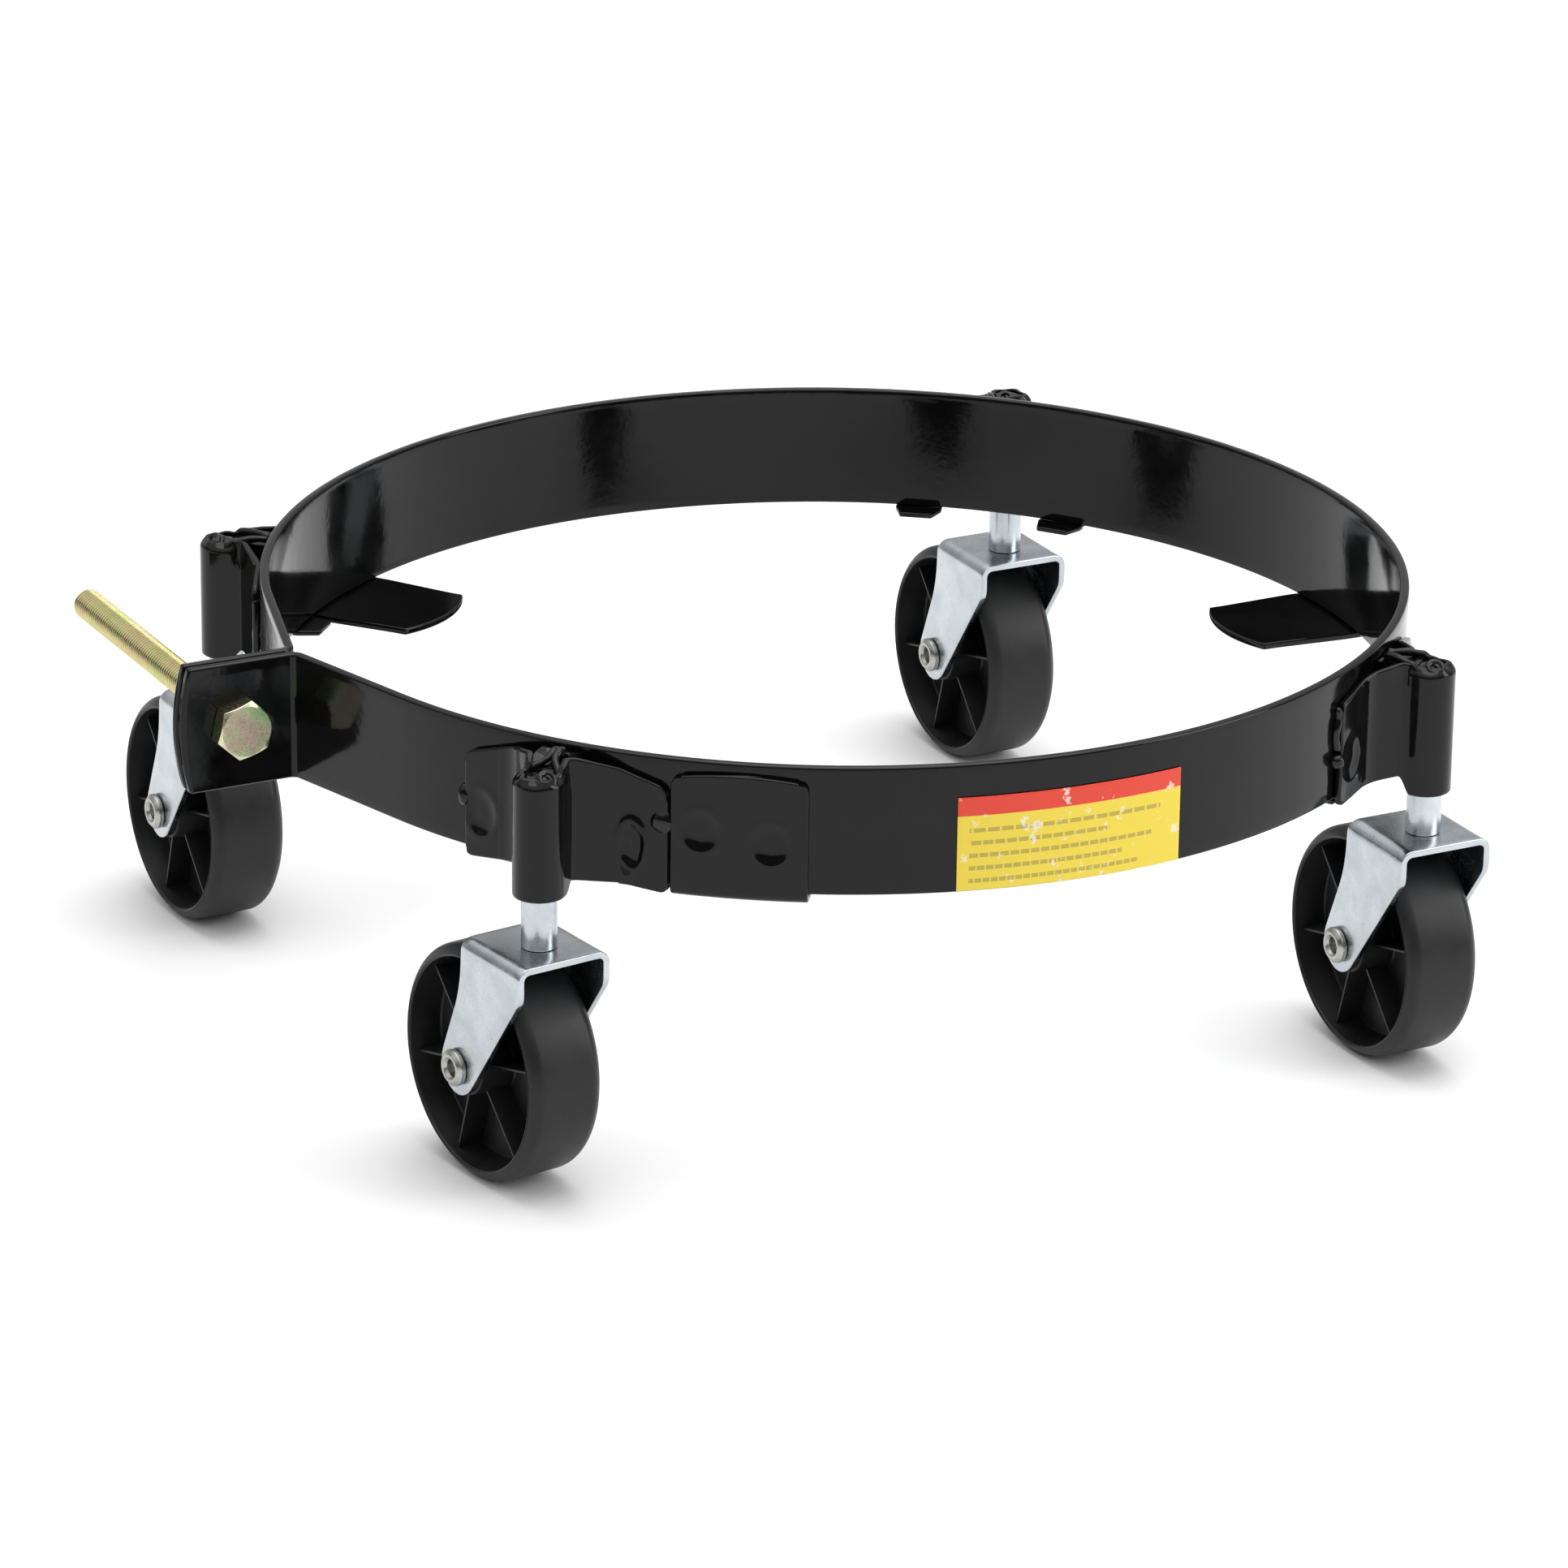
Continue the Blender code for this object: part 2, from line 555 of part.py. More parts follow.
def fork_mesh():
    """A strip bent into a U, trimmed to the legs' outline and pierced for the stem and the axle."""
    half = FORK_THICKNESS / 2
    side = FORK_OUTER_WIDTH / 2 - half
    top = FORK_TOP - half
    foot = WHEEL_RADIUS - FORK_END_RADIUS - 5 * MM
    bend = FORK_BEND_RADIUS
    feet = [Vector((side, foot)), Vector((side, top)), Vector((-side, top)), Vector((-side, foot))]
    path = [feet[0]]
    path += fillet(feet[0], feet[1], feet[2], bend, 3)
    path += fillet(feet[1], feet[2], feet[3], bend, 3)
    path.append(feet[3])
    channel = wall(path, FORK_FRONT - 20 * MM, TRAIL + 20 * MM, FORK_THICKNESS)
    channel.transform(Matrix(((0, 0, 1, 0), (1, 0, 0, 0), (0, 1, 0, 0), (0, 0, 0, 1))))
    sideways = Matrix(((1, 0, 0, 0), (0, 0, -1, 0), (0, 1, 0, 0), (0, 0, 0, 1)))
    legs = plate(leg_outline(), 2 * FORK_OUTER_WIDTH, sideways)
    fork = combine(channel, [legs], "INTERSECT")
    stem_hole = drum(TENON_RADIUS + GAP, FORK_TOP - 8 * MM, FORK_TOP + 4 * MM)
    at_axle = Matrix.Translation((TRAIL, 0.0, WHEEL_RADIUS)) @ Matrix.Rotation(math.radians(90.0), 4, "X")
    axle_hole = drum(AXLE_RADIUS + GAP, -FORK_OUTER_WIDTH, FORK_OUTER_WIDTH, at_axle)
    return combine(fork, [stem_hole, axle_hole], "DIFFERENCE")


def axle_mesh():
    """A hollow rivet along local z, with a rolled head outside each leg."""
    face = FORK_OUTER_WIDTH / 2 + GAP
    end = face + AXLE_HEAD_THICKNESS
    floor = end - AXLE_HOLE_DEPTH
    half = [(0.0, floor), (AXLE_HOLE_RADIUS, floor), (AXLE_HOLE_RADIUS, end),
            (AXLE_HEAD_RADIUS - 0.8 * MM, end), (AXLE_HEAD_RADIUS, end - 0.8 * MM),
            (AXLE_HEAD_RADIUS, face), (AXLE_RADIUS, face)]
    return turned(half + [(radius, -height) for radius, height in reversed(half)], steps=16)


def sleeve_mesh():
    """The spacer tube that the fork grips, and that the wheel turns on."""
    length = FORK_OUTER_WIDTH / 2 - FORK_THICKNESS - GAP
    return turned([(SLEEVE_RADIUS, length), (SLEEVE_RADIUS, -length), (SLEEVE_BORE_RADIUS, -length),
                   (SLEEVE_BORE_RADIUS, length)], closed=True, steps=16)


def wheel_profile():
    """Half the wheel's section, in (radius, distance from the middle), from the tread to the bore."""
    half = WHEEL_WIDTH / 2
    shoulder = 5 * MM
    tread = WHEEL_RADIUS / math.cos(math.pi / WHEEL_FACETS)
    rim_inner = WHEEL_RADIUS - RIM_THICKNESS
    web = WEB_THICKNESS / 2
    edge = arc((tread - shoulder, half - shoulder), shoulder, 0.0, math.pi / 2, 2)
    edge = [(place.x, place.y) for place in edge]
    recess = [(rim_inner, half), (rim_inner - 1.6 * MM, web), (HUB_RADIUS + 0.6 * MM, web),
              (HUB_RADIUS, HUB_LENGTH / 2), (HUB_BORE_RADIUS, HUB_LENGTH / 2)]
    return edge + recess


def wheel_mesh():
    half = wheel_profile()
    other = [(radius, -height) for radius, height in reversed(half)]
    wheel = turned(half + other, closed=True, steps=WHEEL_FACETS)
    half_facet = math.pi / WHEEL_FACETS
    wheel.transform(Matrix.Rotation(half_facet, 4, "Z"))
    rib_start = HUB_RADIUS - 1.2 * MM
    rib_end = WHEEL_RADIUS - RIM_THICKNESS + 1.2 * MM
    rib_height = WHEEL_WIDTH / 2 - RIB_INSET
    across = [Vector((rib_start, -rib_height)), Vector((rib_end, -rib_height)),
              Vector((rib_end, rib_height)), Vector((rib_start, rib_height))]
    upright = Matrix.Rotation(math.radians(90.0), 4, "X")
    ribs = []
    for index in range(RIB_COUNT):
        turn = Matrix.Rotation(math.radians(RIB_START + 360.0 * index / RIB_COUNT), 4, "Z")
        ribs.append(plate(across, RIB_THICKNESS, turn @ upright))
    return combine(wheel, ribs, "UNION")


def build_casters(bright_zinc, dull_zinc, spring_steel, plastic):
    stem = stem_mesh()
    ring = grip_ring_mesh()
    fork = fork_mesh()
    axle = axle_mesh()
    sleeve = sleeve_mesh()
    wheel = wheel_mesh()
    across = Matrix.Translation((TRAIL, 0.0, WHEEL_RADIUS)) @ Matrix.Rotation(math.radians(90.0), 4, "X")
    for name, angle in CASTER_ANGLES.items():
        stem_place = station(angle) @ Vector((STEM_CIRCLE_RADIUS, 0.0, 0.0))
        heading = Matrix.Rotation(math.radians(CASTER_HEADINGS[name]), 4, "Z")
        swivel = marker(f"{name}_swivel_axis", Matrix.Translation(stem_place) @ heading)
        part(f"{name}_stem", stem, bright_zinc, parent=swivel)
        part(f"{name}_grip_ring", ring, spring_steel, parent=swivel)
        part(f"{name}_fork", fork, bright_zinc, parent=swivel)
        part(f"{name}_axle", axle, dull_zinc, across, swivel)
        part(f"{name}_axle_sleeve", sleeve, dull_zinc, across, swivel)
        part(f"{name}_wheel", wheel, plastic, across, swivel)


# ---- the label ----------------------------------------------------------------------------------
def build_label(paper):
    radius = BAND_OUTER_RADIUS + GAP + LABEL_THICKNESS / 2
    path = arc((0.0, 0.0), radius, math.radians(LABEL_START), math.radians(LABEL_END), 8)
    bottom = BAND_BOTTOM + LABEL_LIFT
    part("band_label", wall(path, bottom, bottom + LABEL_HEIGHT, LABEL_THICKNESS), paper,
         Matrix.Translation(RING_AXIS))


def main():
    black_paint = material("black_paint", (0.012, 0.012, 0.013), 0.25)
    bright_zinc = material("bright_zinc", (0.70, 0.73, 0.76), 0.32, 1.0)
    dull_zinc = material("dull_zinc", (0.55, 0.56, 0.56), 0.42, 1.0)
    spring_steel = material("spring_steel", (0.35, 0.35, 0.36), 0.35, 1.0)
    yellow_zinc = material("yellow_zinc", (0.72, 0.62, 0.32), 0.30, 1.0)
    wheel_plastic = material("wheel_plastic", (0.022, 0.022, 0.023), 0.5)
    label_paper = material("label_yellow", (0.85, 0.66, 0.03), 0.45)
    build_band(black_paint)
    build_leaves(black_paint)
    build_brackets(black_paint)
    build_clamp_bolt(yellow_zinc)
    build_clamp_nut(yellow_zinc)
    build_label(label_paper)
    build_casters(bright_zinc, dull_zinc, spring_steel, wheel_plastic)


clear_scene()
PARTS = collection("drum_dolly")
CUTTERS = collection("cutters")
main()
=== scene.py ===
import json
import math

import bmesh
import bpy
import numpy as np
from mathutils import Matrix, Vector, noise


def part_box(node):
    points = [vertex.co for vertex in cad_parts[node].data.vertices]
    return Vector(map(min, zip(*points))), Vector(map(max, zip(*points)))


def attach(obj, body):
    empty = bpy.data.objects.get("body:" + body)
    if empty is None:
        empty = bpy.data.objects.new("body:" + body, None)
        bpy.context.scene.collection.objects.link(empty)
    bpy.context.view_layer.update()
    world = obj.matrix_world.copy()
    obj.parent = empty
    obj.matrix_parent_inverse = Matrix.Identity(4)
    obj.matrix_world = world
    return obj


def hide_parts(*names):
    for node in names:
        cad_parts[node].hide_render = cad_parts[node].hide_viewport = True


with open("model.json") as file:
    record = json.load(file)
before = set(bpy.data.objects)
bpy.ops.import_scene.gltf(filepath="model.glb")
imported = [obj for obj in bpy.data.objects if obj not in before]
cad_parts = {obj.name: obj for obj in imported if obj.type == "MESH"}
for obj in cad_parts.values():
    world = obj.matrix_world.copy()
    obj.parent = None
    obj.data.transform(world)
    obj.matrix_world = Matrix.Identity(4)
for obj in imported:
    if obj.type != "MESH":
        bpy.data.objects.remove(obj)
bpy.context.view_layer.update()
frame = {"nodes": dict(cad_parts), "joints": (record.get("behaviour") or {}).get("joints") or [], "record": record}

MM = 0.001
UP = Vector((0.0, 0.0, 1.0))
OUTWARDS = Vector((1.0, 0.0, 0.0))
JOINTS = {joint["name"]: joint for joint in frame["joints"]}
CASTERS = ("front_left", "right", "back", "left")


def mm(*values):
    """Millimetres to metres."""
    return tuple(value * MM for value in values)


# ---- places, read from the frame ----
OPENING = frame["record"]["physics"]["openings"][0]["box_m"]
RING_AXIS = Vector(((OPENING[0][0] + OPENING[1][0]) / 2, (OPENING[0][1] + OPENING[1][1]) / 2, 0.0))
BAND_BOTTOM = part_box("clamp_band")[0][2]
BAND_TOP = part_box("clamp_band")[1][2]
STEM_PLACES = {name: Vector(JOINTS[f"{name}_swivel_turn"]["pos_m"]) for name in CASTERS}
WHEEL_PLACES = {name: Vector(JOINTS[f"{name}_wheel_spin"]["pos_m"]) for name in CASTERS}
BOLT_PLACE = Vector(JOINTS["clamp_bolt_turn"]["pos_m"])
BOLT_AXIS = Vector(JOINTS["clamp_bolt_turn"]["axis"]).normalized()  # towards the head
SEATS = {mount["name"].rsplit("_", 1)[1]: Vector(mount["pos_m"]) for mount in frame["record"]["mounts"]}

# ---- sizes of the band and its clamp ----
GAP = 0.3 * MM  # left between pieces that touch
BAND_OUTER_RADIUS = 184 * MM
BAND_THICKNESS = 3 * MM
EAR_BEND_RADIUS = 3.5 * MM
EAR_END_RADIUS = 228.5 * MM
EAR_BULGE = 3.0 * MM  # how far the middle of an ear's end stands past its corners
EAR_BULGE_START = EAR_END_RADIUS - 6 * MM
CLAMP_GAP = 1.2 * MM
CLAMP_STRAIGHT = 50 * MM  # the flat stretch of band beside each ear
BOLT_DIAMETER = 10 * MM
BOLT_LENGTH = 125 * MM
THREAD_PITCH = 1.5 * MM
THREAD_DEPTH = 0.85 * MM
THREAD_SHAPE = (0.0, 0.35, 1.0, 1.0, 0.35, 0.0)  # heights over one turn, root to crest
TIP_CHAMFER = 1.3 * MM
HEX_ACROSS_FLATS = 17 * MM
HEX_TURN = math.radians(103.0)
HEX_CHAMFER = math.radians(28.0)
HEX_CHAMFER_START = HEX_ACROSS_FLATS / 2 * 0.955
HEAD_HEIGHT = 6.4 * MM
NUT_HEIGHT = 8.4 * MM

# ---- sizes of the leaf plates ----
LEAF_THICKNESS = 2.2 * MM
LEAF_HALF_WIDTH = 21 * MM
LEAF_TIP_HALF_WIDTH = 19.5 * MM
LEAF_CORNER_REACH = 34 * MM  # from the band's inner face to the corners of the tip
LEAF_TIP_BULGE = 5 * MM
LEAF_TOP_DROP = 3.2 * MM
LEAF_TOP_BOW = 1.9 * MM
LEAF_TOP_ROUND = 3 * MM
PUNCH_RADII = mm(6.6, 6.9)
PUNCH_DEPTH = 1.25 * MM
PUNCH_PLACES = (mm(-11.7, 19.6), mm(9.8, 16.7))  # along the ring, above the band's lower edge

# ---- sizes of the socket brackets ----
STRIP_THICKNESS = 2.2 * MM
SOCKET_BORE_RADIUS = 6 * MM
STEM_CIRCLE_RADIUS = 200 * MM
# the shoulders' height at the band, the socket's top, the socket's bottom
BRACKET_LEVELS = {"front_left": mm(140.0, 136.2, 97.4), "right": mm(138.2, 137.0, 94.8),
                  "back": mm(138.2, 137.0, 97.4), "left": mm(138.2, 137.0, 97.4)}
FOOT_HALF_WIDTH = 6.3 * MM  # half the width between the walls, where the ramps end
FOOT_STANDOFF = 7.4 * MM
# either side's ramp's start on the flange, bend's radius there, corner's radius, extra standoff
RAMP_SIDES = (mm(19.5, 6.0, 2.2, 0.0), mm(16.0, 15.0, 5.0, 1.8))
FLANGE_END = 34.5 * MM
FLANGE_END_TOP = 131.8 * MM
FLANGE_BOTTOM = 97.9 * MM
FLANGE_TOP_ROUNDS = mm(3.6, 2.2)  # on either side
FLANGE_LOW_ROUND = 2.5 * MM
FOOT_BOTTOM = 100.8 * MM
PLUG_WELD = (mm(23.5, 112.3), mm(4.8, 8.0), 0.75 * MM)  # place, radii and height
FLANGE_DIMPLE = (mm(-28.6, 113.0), mm(6.2, 7.8), 1.2 * MM)  # place, radii and depth
CRIMP_HEIGHT = 3.2 * MM  # of the socket's top, which is pressed in
CRIMP_SHARE = 0.24  # of its radius, lost at the very top
NECK_PINCH = 0.12  # of the width between the walls, lost at their top
FOLD_ANGLE = 8.0
FOLD_HALF_ROOT = 8 * MM
FOLD_HALF_TIP = 5.5 * MM
FOLD_REACH = 7 * MM
FOLD_THICKNESS = 1.7 * MM
COWL_SAG = 2.0 * MM
COWL_DEPTH = 6 * MM
LIP_SPLITS = {"front_left": 0.75, "right": 0.2, "back": 0.2, "left": 0.2}  # where the lips part
LIP_BEAD = mm(2.4, 1.2)  # width and height, as for every bead here
LIP_ARCH = 0.9 * MM
LIP_DIP = 1.7 * MM  # at the socket's end

# ---- sizes of the welds ----
# blobs at the flanges' ends: distance from the bracket's middle, height, half width, half height
END_WELDS = {"front_left": (mm(32.2, 121.0, 4.0, 4.2), mm(-34.9, 117.0, 2.4, 3.8)),
             "right": (mm(-34.9, 113.5, 2.6, 2.6), mm(34.9, 118.0, 2.4, 3.2)),
             "back": (mm(34.9, 117.0, 2.8, 3.4), mm(-34.9, 121.0, 2.6, 3.0)),
             "left": (mm(-34.9, 115.0, 3.0, 3.4),)}
END_WELD_DEPTH = 2.6 * MM
BEADED = {"right": -1, "back": -1}  # the flange end that also has a run of weld
RUN_HALF_LENGTH = 7.5 * MM
RUN_HEIGHT = 123.5 * MM
RUN_BEAD = mm(2.7, 1.6)
CAP_SIZE = mm(5.4, 5.4, 1.9)
KNOB_SIZE = mm(3.7, 3.7, 1.7)
KNOB_DROP = 1.5 * MM
SWIRL_HEADINGS = {"front_left": 55, "right": -55, "back": 180, "left": 40}  # round the socket
SWIRL_OFFSET = 3.9 * MM
SWIRL_LEAN = math.radians(38)
SWIRL_TURNS = 1.6
SWIRL_RADII = mm(3.1, 0.7)
SWIRL_LIFT = 1.3 * MM
SWIRL_BEAD = mm(1.8, 1.0)
BEAD_FACETS = 16

# ---- sizes of the casters ----
WHEEL_RADIUS = 37.5 * MM
WHEEL_WIDTH = 26 * MM
WHEEL_CORNER = 4.6 * MM
RIM_THICKNESS = 4 * MM
HALF_WEB = 2 * MM
HUB_RADIUS = 9.5 * MM
HUB_LENGTH = 27.6 * MM
HUB_BORE_RADIUS = 5.6 * MM
RIB_COUNT = 6
RIB_START = 47.0
RIB_INSET = 3 * MM
RIB_HALF_THICKNESSES = mm(1.05, 0.62)  # at the web and at the free edge
TRAIL = 20.6 * MM
FORK_TOP = 80.6 * MM
FORK_THICKNESS = 2.2 * MM
FORK_OUTER_WIDTH = 32.8 * MM
FORK_BEND_RADIUS = 3 * MM
FORK_FRONT = -14 * MM
FORK_REAR = 18 * MM
FORK_SHOULDER = 70 * MM
FORK_SHOULDER_ROUND = 7 * MM
FORK_WAIST = Vector(mm(19.2, 64))
FORK_WAIST_ROUND = 45 * MM
FORK_END_RADIUS = 9 * MM
STEM_RADIUS = 5.55 * MM
STEM_TOP = 131.2 * MM
GROOVE_RADIUS = 4.5 * MM
GROOVE_BOTTOM = 123.4 * MM
GROOVE_TOP = 127 * MM
TENON_RADIUS = 4.2 * MM
TENON_HOLE_RADIUS = 4.5 * MM
TENON_HEAD_RADII = mm(7, 6)  # of the riveted end, at its top and its bottom
TENON_HEAD_THICKNESS = 1.4 * MM
AXLE_RADIUS = 4 * MM
AXLE_HEAD_RADIUS = 5.8 * MM
AXLE_HEAD_THICKNESS = 3 * MM
AXLE_HOLE_RADIUS = 2.7 * MM
AXLE_HOLE_DEPTH = 3.6 * MM
AXLE_FRAME = Matrix.Translation((TRAIL, 0.0, WHEEL_RADIUS)) @ Matrix.Rotation(math.pi / 2, 4, "X")

# ---- sizes of the label ----
LABEL_ANGLES = (math.radians(281.9), math.radians(305.0))
LABEL_HEIGHT = 30 * MM
LABEL_LIFT = 0.6 * MM
LABEL_THICKNESS = 0.3 * MM
LABEL_RED_START = 0.80  # shares of its height and width, from here on
LABEL_LINES = ((0.62, 0.90), (0.485, 0.66), (0.35, 0.86), (0.215, 0.72), (0.08, 0.80))  # foot, end
LABEL_LINE_START = 0.05
LABEL_LINE_HEIGHT = 0.045

# ---- the camera and the lights ----
CAMERA_DISTANCE = 2.484
CAMERA_SLOPE = math.radians(19.75)
CAMERA_YAW = math.radians(0.35)
CAMERA_TILT = math.radians(-1.19)
CAMERA_ROLL = math.radians(-0.84)
CAMERA_LENS = 177.3
CAMERA_SENSOR = 36.0
FLOOR_HALF_SIZE = 6.0
FLOOR_DROP = 0.2 * MM
LIGHTS_AIM = Vector((0.0, 0.0, 0.08))
# name, place, size and power
STUDIO_LIGHTS = (
    ("top", (0.2, 0.2, 2.5), (2.4, 2.4), 40.0),
    ("left", (-2.0, -0.7, 0.9), (1.1, 1.4), 1.5),
    ("right", (2.1, -0.5, 1.0), (1.1, 1.4), 20.0),
)


# ---- flat geometry ----
def arc(centre, radius, start, end, steps):
    """Points along an arc, from one angle to another in radians, both ends included."""
    angles = [start + (end - start) * i / steps for i in range(steps + 1)]
    return [Vector((centre[0] + radius * math.cos(a), centre[1] + radius * math.sin(a))) for a in angles]


def fillet(before, corner, after, radius, steps=4):
    """The arc that rounds a corner between two straight runs."""
    to_before = (before - corner).normalized()
    to_after = (after - corner).normalized()
    half = to_before.angle(to_after) / 2
    centre = corner + (to_before + to_after).normalized() * (radius / math.sin(half))
    first, last = (corner + run * (radius / math.tan(half)) - centre for run in (to_before, to_after))
    start = math.atan2(first.y, first.x)
    return arc(centre, radius, start, start - first.angle_signed(last), steps)


def around(steps):
    """Even angles all the way round."""
    return [2 * math.pi * i / steps for i in range(steps)]


def heading(start, end):
    """The direction from one point to another, seen from above."""
    return math.atan2(end.y - start.y, end.x - start.x)


def touch_point(point, centre, radius, side):
    """Where a line from a point touches a circle, on its left (side 1) or its right (side -1)."""
    away = point - centre
    angle = math.atan2(away.y, away.x) + side * math.acos(radius / away.length)
    return centre + Vector((math.cos(angle), math.sin(angle))) * radius


def resample(path, step):
    """Points at even distances along a path, its ends included."""
    lengths = [0.0]
    for a, b in zip(path, path[1:]):
        lengths.append(lengths[-1] + (b - a).length)
    count = max(2, round(lengths[-1] / step))
    places = np.linspace(0.0, lengths[-1], count + 1)
    columns = [np.interp(places, lengths, [p[axis] for p in path]) for axis in range(len(path[0]))]
    return [Vector(point) for point in zip(*columns)]


def smooth_step(low, high, value):
    share = min(max((value - low) / (high - low), 0.0), 1.0)
    return share * share * (3.0 - 2.0 * share)


def lerp(a, b, share):
    return a + (b - a) * share


def fall(radius, side):
    """How far a circle has fallen away from its top, at a place to the side of it."""
    return radius - math.sqrt(max(radius ** 2 - side ** 2, 0.0))


def corner_fall(radius, from_end):
    """How far a rounded corner has fallen away, this far in from the end."""
    return fall(radius, max(radius - from_end, 0.0))


# ---- meshes ----
def closed_mesh(points, faces, name):
    """A mesh of points and faces, with all its faces turned outwards."""
    mesh = bpy.data.meshes.new(name)
    mesh.from_pydata(points, [], faces)
    bm = bmesh.new()
    bm.from_mesh(mesh)
    bmesh.ops.recalc_face_normals(bm, faces=bm.faces)
    bm.to_mesh(mesh)
    bm.free()
    return mesh


def loft(rings, name="loft", closed=False):
    """A body through a row of rings of equal length. Closed joins its last ring to the first;
    otherwise a flat cap shuts either end."""
    count = len(rings[0])
    points = [tuple(point) for ring in rings for point in ring]
    faces = []
    for row in range(len(rings) if closed else len(rings) - 1):
        here, after = row * count, (row + 1) % len(rings) * count
        for i in range(count):
            j = (i + 1) % count
            faces.append((here + i, here + j, after + j, after + i))
    if not closed:
        faces.append(tuple(reversed(range(count))))
        faces.append(tuple((len(rings) - 1) * count + i for i in range(count)))
    return closed_mesh(points, faces, name)


def sheet_ring(half, low, high, edge, rows, corner_steps=3):
    """The cut through a sheet: (offset through its thickness, place across it), edges rounded."""
    edge = max(min(edge, half * 0.98, (high - low) * 0.49), 1e-6)
    right, left, top, bottom = half - edge, -half + edge, high - edge, low + edge

    def corner(x, y, start):
        return [tuple(p) for p in arc((x, y), edge, start, start + math.pi / 2, corner_steps)][1:]

    ring = [(half, lerp(bottom, top, row / rows)) for row in range(rows + 1)]
    ring += corner(right, top, 0.0) + corner(left, top, math.pi / 2)
    ring += [(-half, lerp(top, bottom, row / rows)) for row in range(1, rows + 1)]
    ring += corner(left, bottom, math.pi) + corner(right, bottom, 1.5 * math.pi)
    return ring[:-1]


def sheet(path, limits, thickness, edge, rows, place):
    """A sheet of even thickness along a 2D path, with rounded edges. limits(point) gives the places
    of its two side edges, and place(offset point, side) turns them into a point in space."""
    last = len(path) - 1
    turns = [math.radians(angle) for angle in (90.0, 60.0, 30.0, 0.0)]
    ends = [(edge - edge * math.sin(turn), edge * (1.0 - math.cos(turn))) for turn in turns]
    stations = [(0, shift, inset) for shift, inset in ends]
    stations += [(i, 0.0, 0.0) for i in range(1, last)]
    stations += [(last, -shift, inset) for shift, inset in reversed(ends)]
    rings = []
    for i, shift, inset in stations:
        tangent = (path[min(i + 1, last)] - path[max(i - 1, 0)]).normalized()
        point = path[i] + tangent * shift
        normal = Vector((-tangent.y, tangent.x))
        low, high = limits(path[i])
        ring = sheet_ring(thickness / 2 - min(inset, thickness * 0.45), low + inset, high - inset,
                          max(edge - inset, 0.05 * MM), rows)
        rings.append([place(point + normal * offset, side) for offset, side in ring])
    return loft(rings)


def turned(profile, steps=96, closed=False):
    """A profile of (radius, height) turned about z. Ends at radius 0 close the body."""
    rings = []
    points = []
    for radius, height in profile:
        if radius < 1e-7:
            rings.append([len(points)])
            points.append((0.0, 0.0, height))
            continue
        start = len(points)
        for angle in around(steps):
            points.append((radius * math.cos(angle), radius * math.sin(angle), height))
        rings.append(list(range(start, start + steps)))
    faces = []
    pairs = list(zip(rings, rings[1:]))
    if closed:
        pairs.append((rings[-1], rings[0]))
    for a, b in pairs:
        for i in range(steps):
            j = (i + 1) % steps
            if len(a) == 1:
                faces.append((a[0], b[i], b[j]))
            elif len(b) == 1:
                faces.append((a[i], a[j], b[0]))
            else:
                faces.append((a[i], a[j], b[j], b[i]))
    return closed_mesh(points, faces, "turned")


def plug(radius, low, high, steps=40):
    """A round bar along z, to cut a hole with."""
    return turned([(0.0, low), (radius, low), (radius, high), (0.0, high)], steps)


def rounded(points, radius, steps=4):
    """A profile of (x, y) points with its inner corners rounded."""
    points = [Vector(p) for p in points]
    out = [points[0]]
    for before, corner, after in zip(points, points[1:], points[2:]):
        reach = min((before - corner).length, (after - corner).length) * 0.48
        angle = (before - corner).normalized().angle((after - corner).normalized())
        if angle > math.pi - 0.02:
            out.append(corner)
        else:
            out += fillet(before, corner, after, min(radius, reach * math.tan(angle / 2)), steps)
    return [tuple(p) for p in out + [points[-1]]]


def add_object(name, data):
    """A new object in the scene."""
    obj = bpy.data.objects.new(name, data)
    bpy.context.scene.collection.objects.link(obj)
    return obj


def combine(mesh, tools, operation):
    """Join meshes to a mesh, or cut them from it, and give the result as a new mesh."""
    base = add_object("base", mesh)
    helpers = [add_object("tool", tool) for tool in tools]
    for helper in helpers:
        step = base.modifiers.new("combine", "BOOLEAN")
        step.operation = operation
        step.solver = "EXACT"
        step.object = helper
    bpy.context.view_layer.update()
    graph = bpy.context.evaluated_depsgraph_get()
    result = bpy.data.meshes.new_from_object(base.evaluated_get(graph))
    for obj in [base] + helpers:
        bpy.data.objects.remove(obj, do_unlink=True)
    return result


def dimple(centre, radius, depth):
    """A round hollow that a punch has left: smooth, with a raised middle and a slight rim."""
    def at(u, v):
        away = math.hypot((u - centre[0]) / radius[0], (v - centre[1]) / radius[1])
        bowl = -depth * max(1.0 - away * away, 0.0) ** 1.5
        bowl += 0.40 * depth * math.exp(-(away / 0.36) ** 2)
        return bowl + 0.18 * depth * math.exp(-((away - 1.05) / 0.20) ** 2)
    return at


def plug_weld(centre, radius, height, seed):
    """A weld that has filled a slot: an uneven raised lip around a rough, sunken middle."""
    def at(u, v):
        across, up = (u - centre[0]) / radius[0], (v - centre[1]) / radius[1]
        away = math.hypot(across, up) + 0.10 * noise.noise(Vector((across * 1.6, up * 1.6, seed)))
        if away > 1.9:
            return 0.0
        lip = height * math.exp(-((away - 0.95) / 0.24) ** 2)
        rough = noise.noise(Vector((across * 1.9 + seed, up * 1.9, 3.0)))
        sunk = (0.5 * rough - 0.35) * height * (1.0 - smooth_step(0.5, 0.95, away))
        return lip * (0.85 + 0.3 * rough) + sunk
    return at


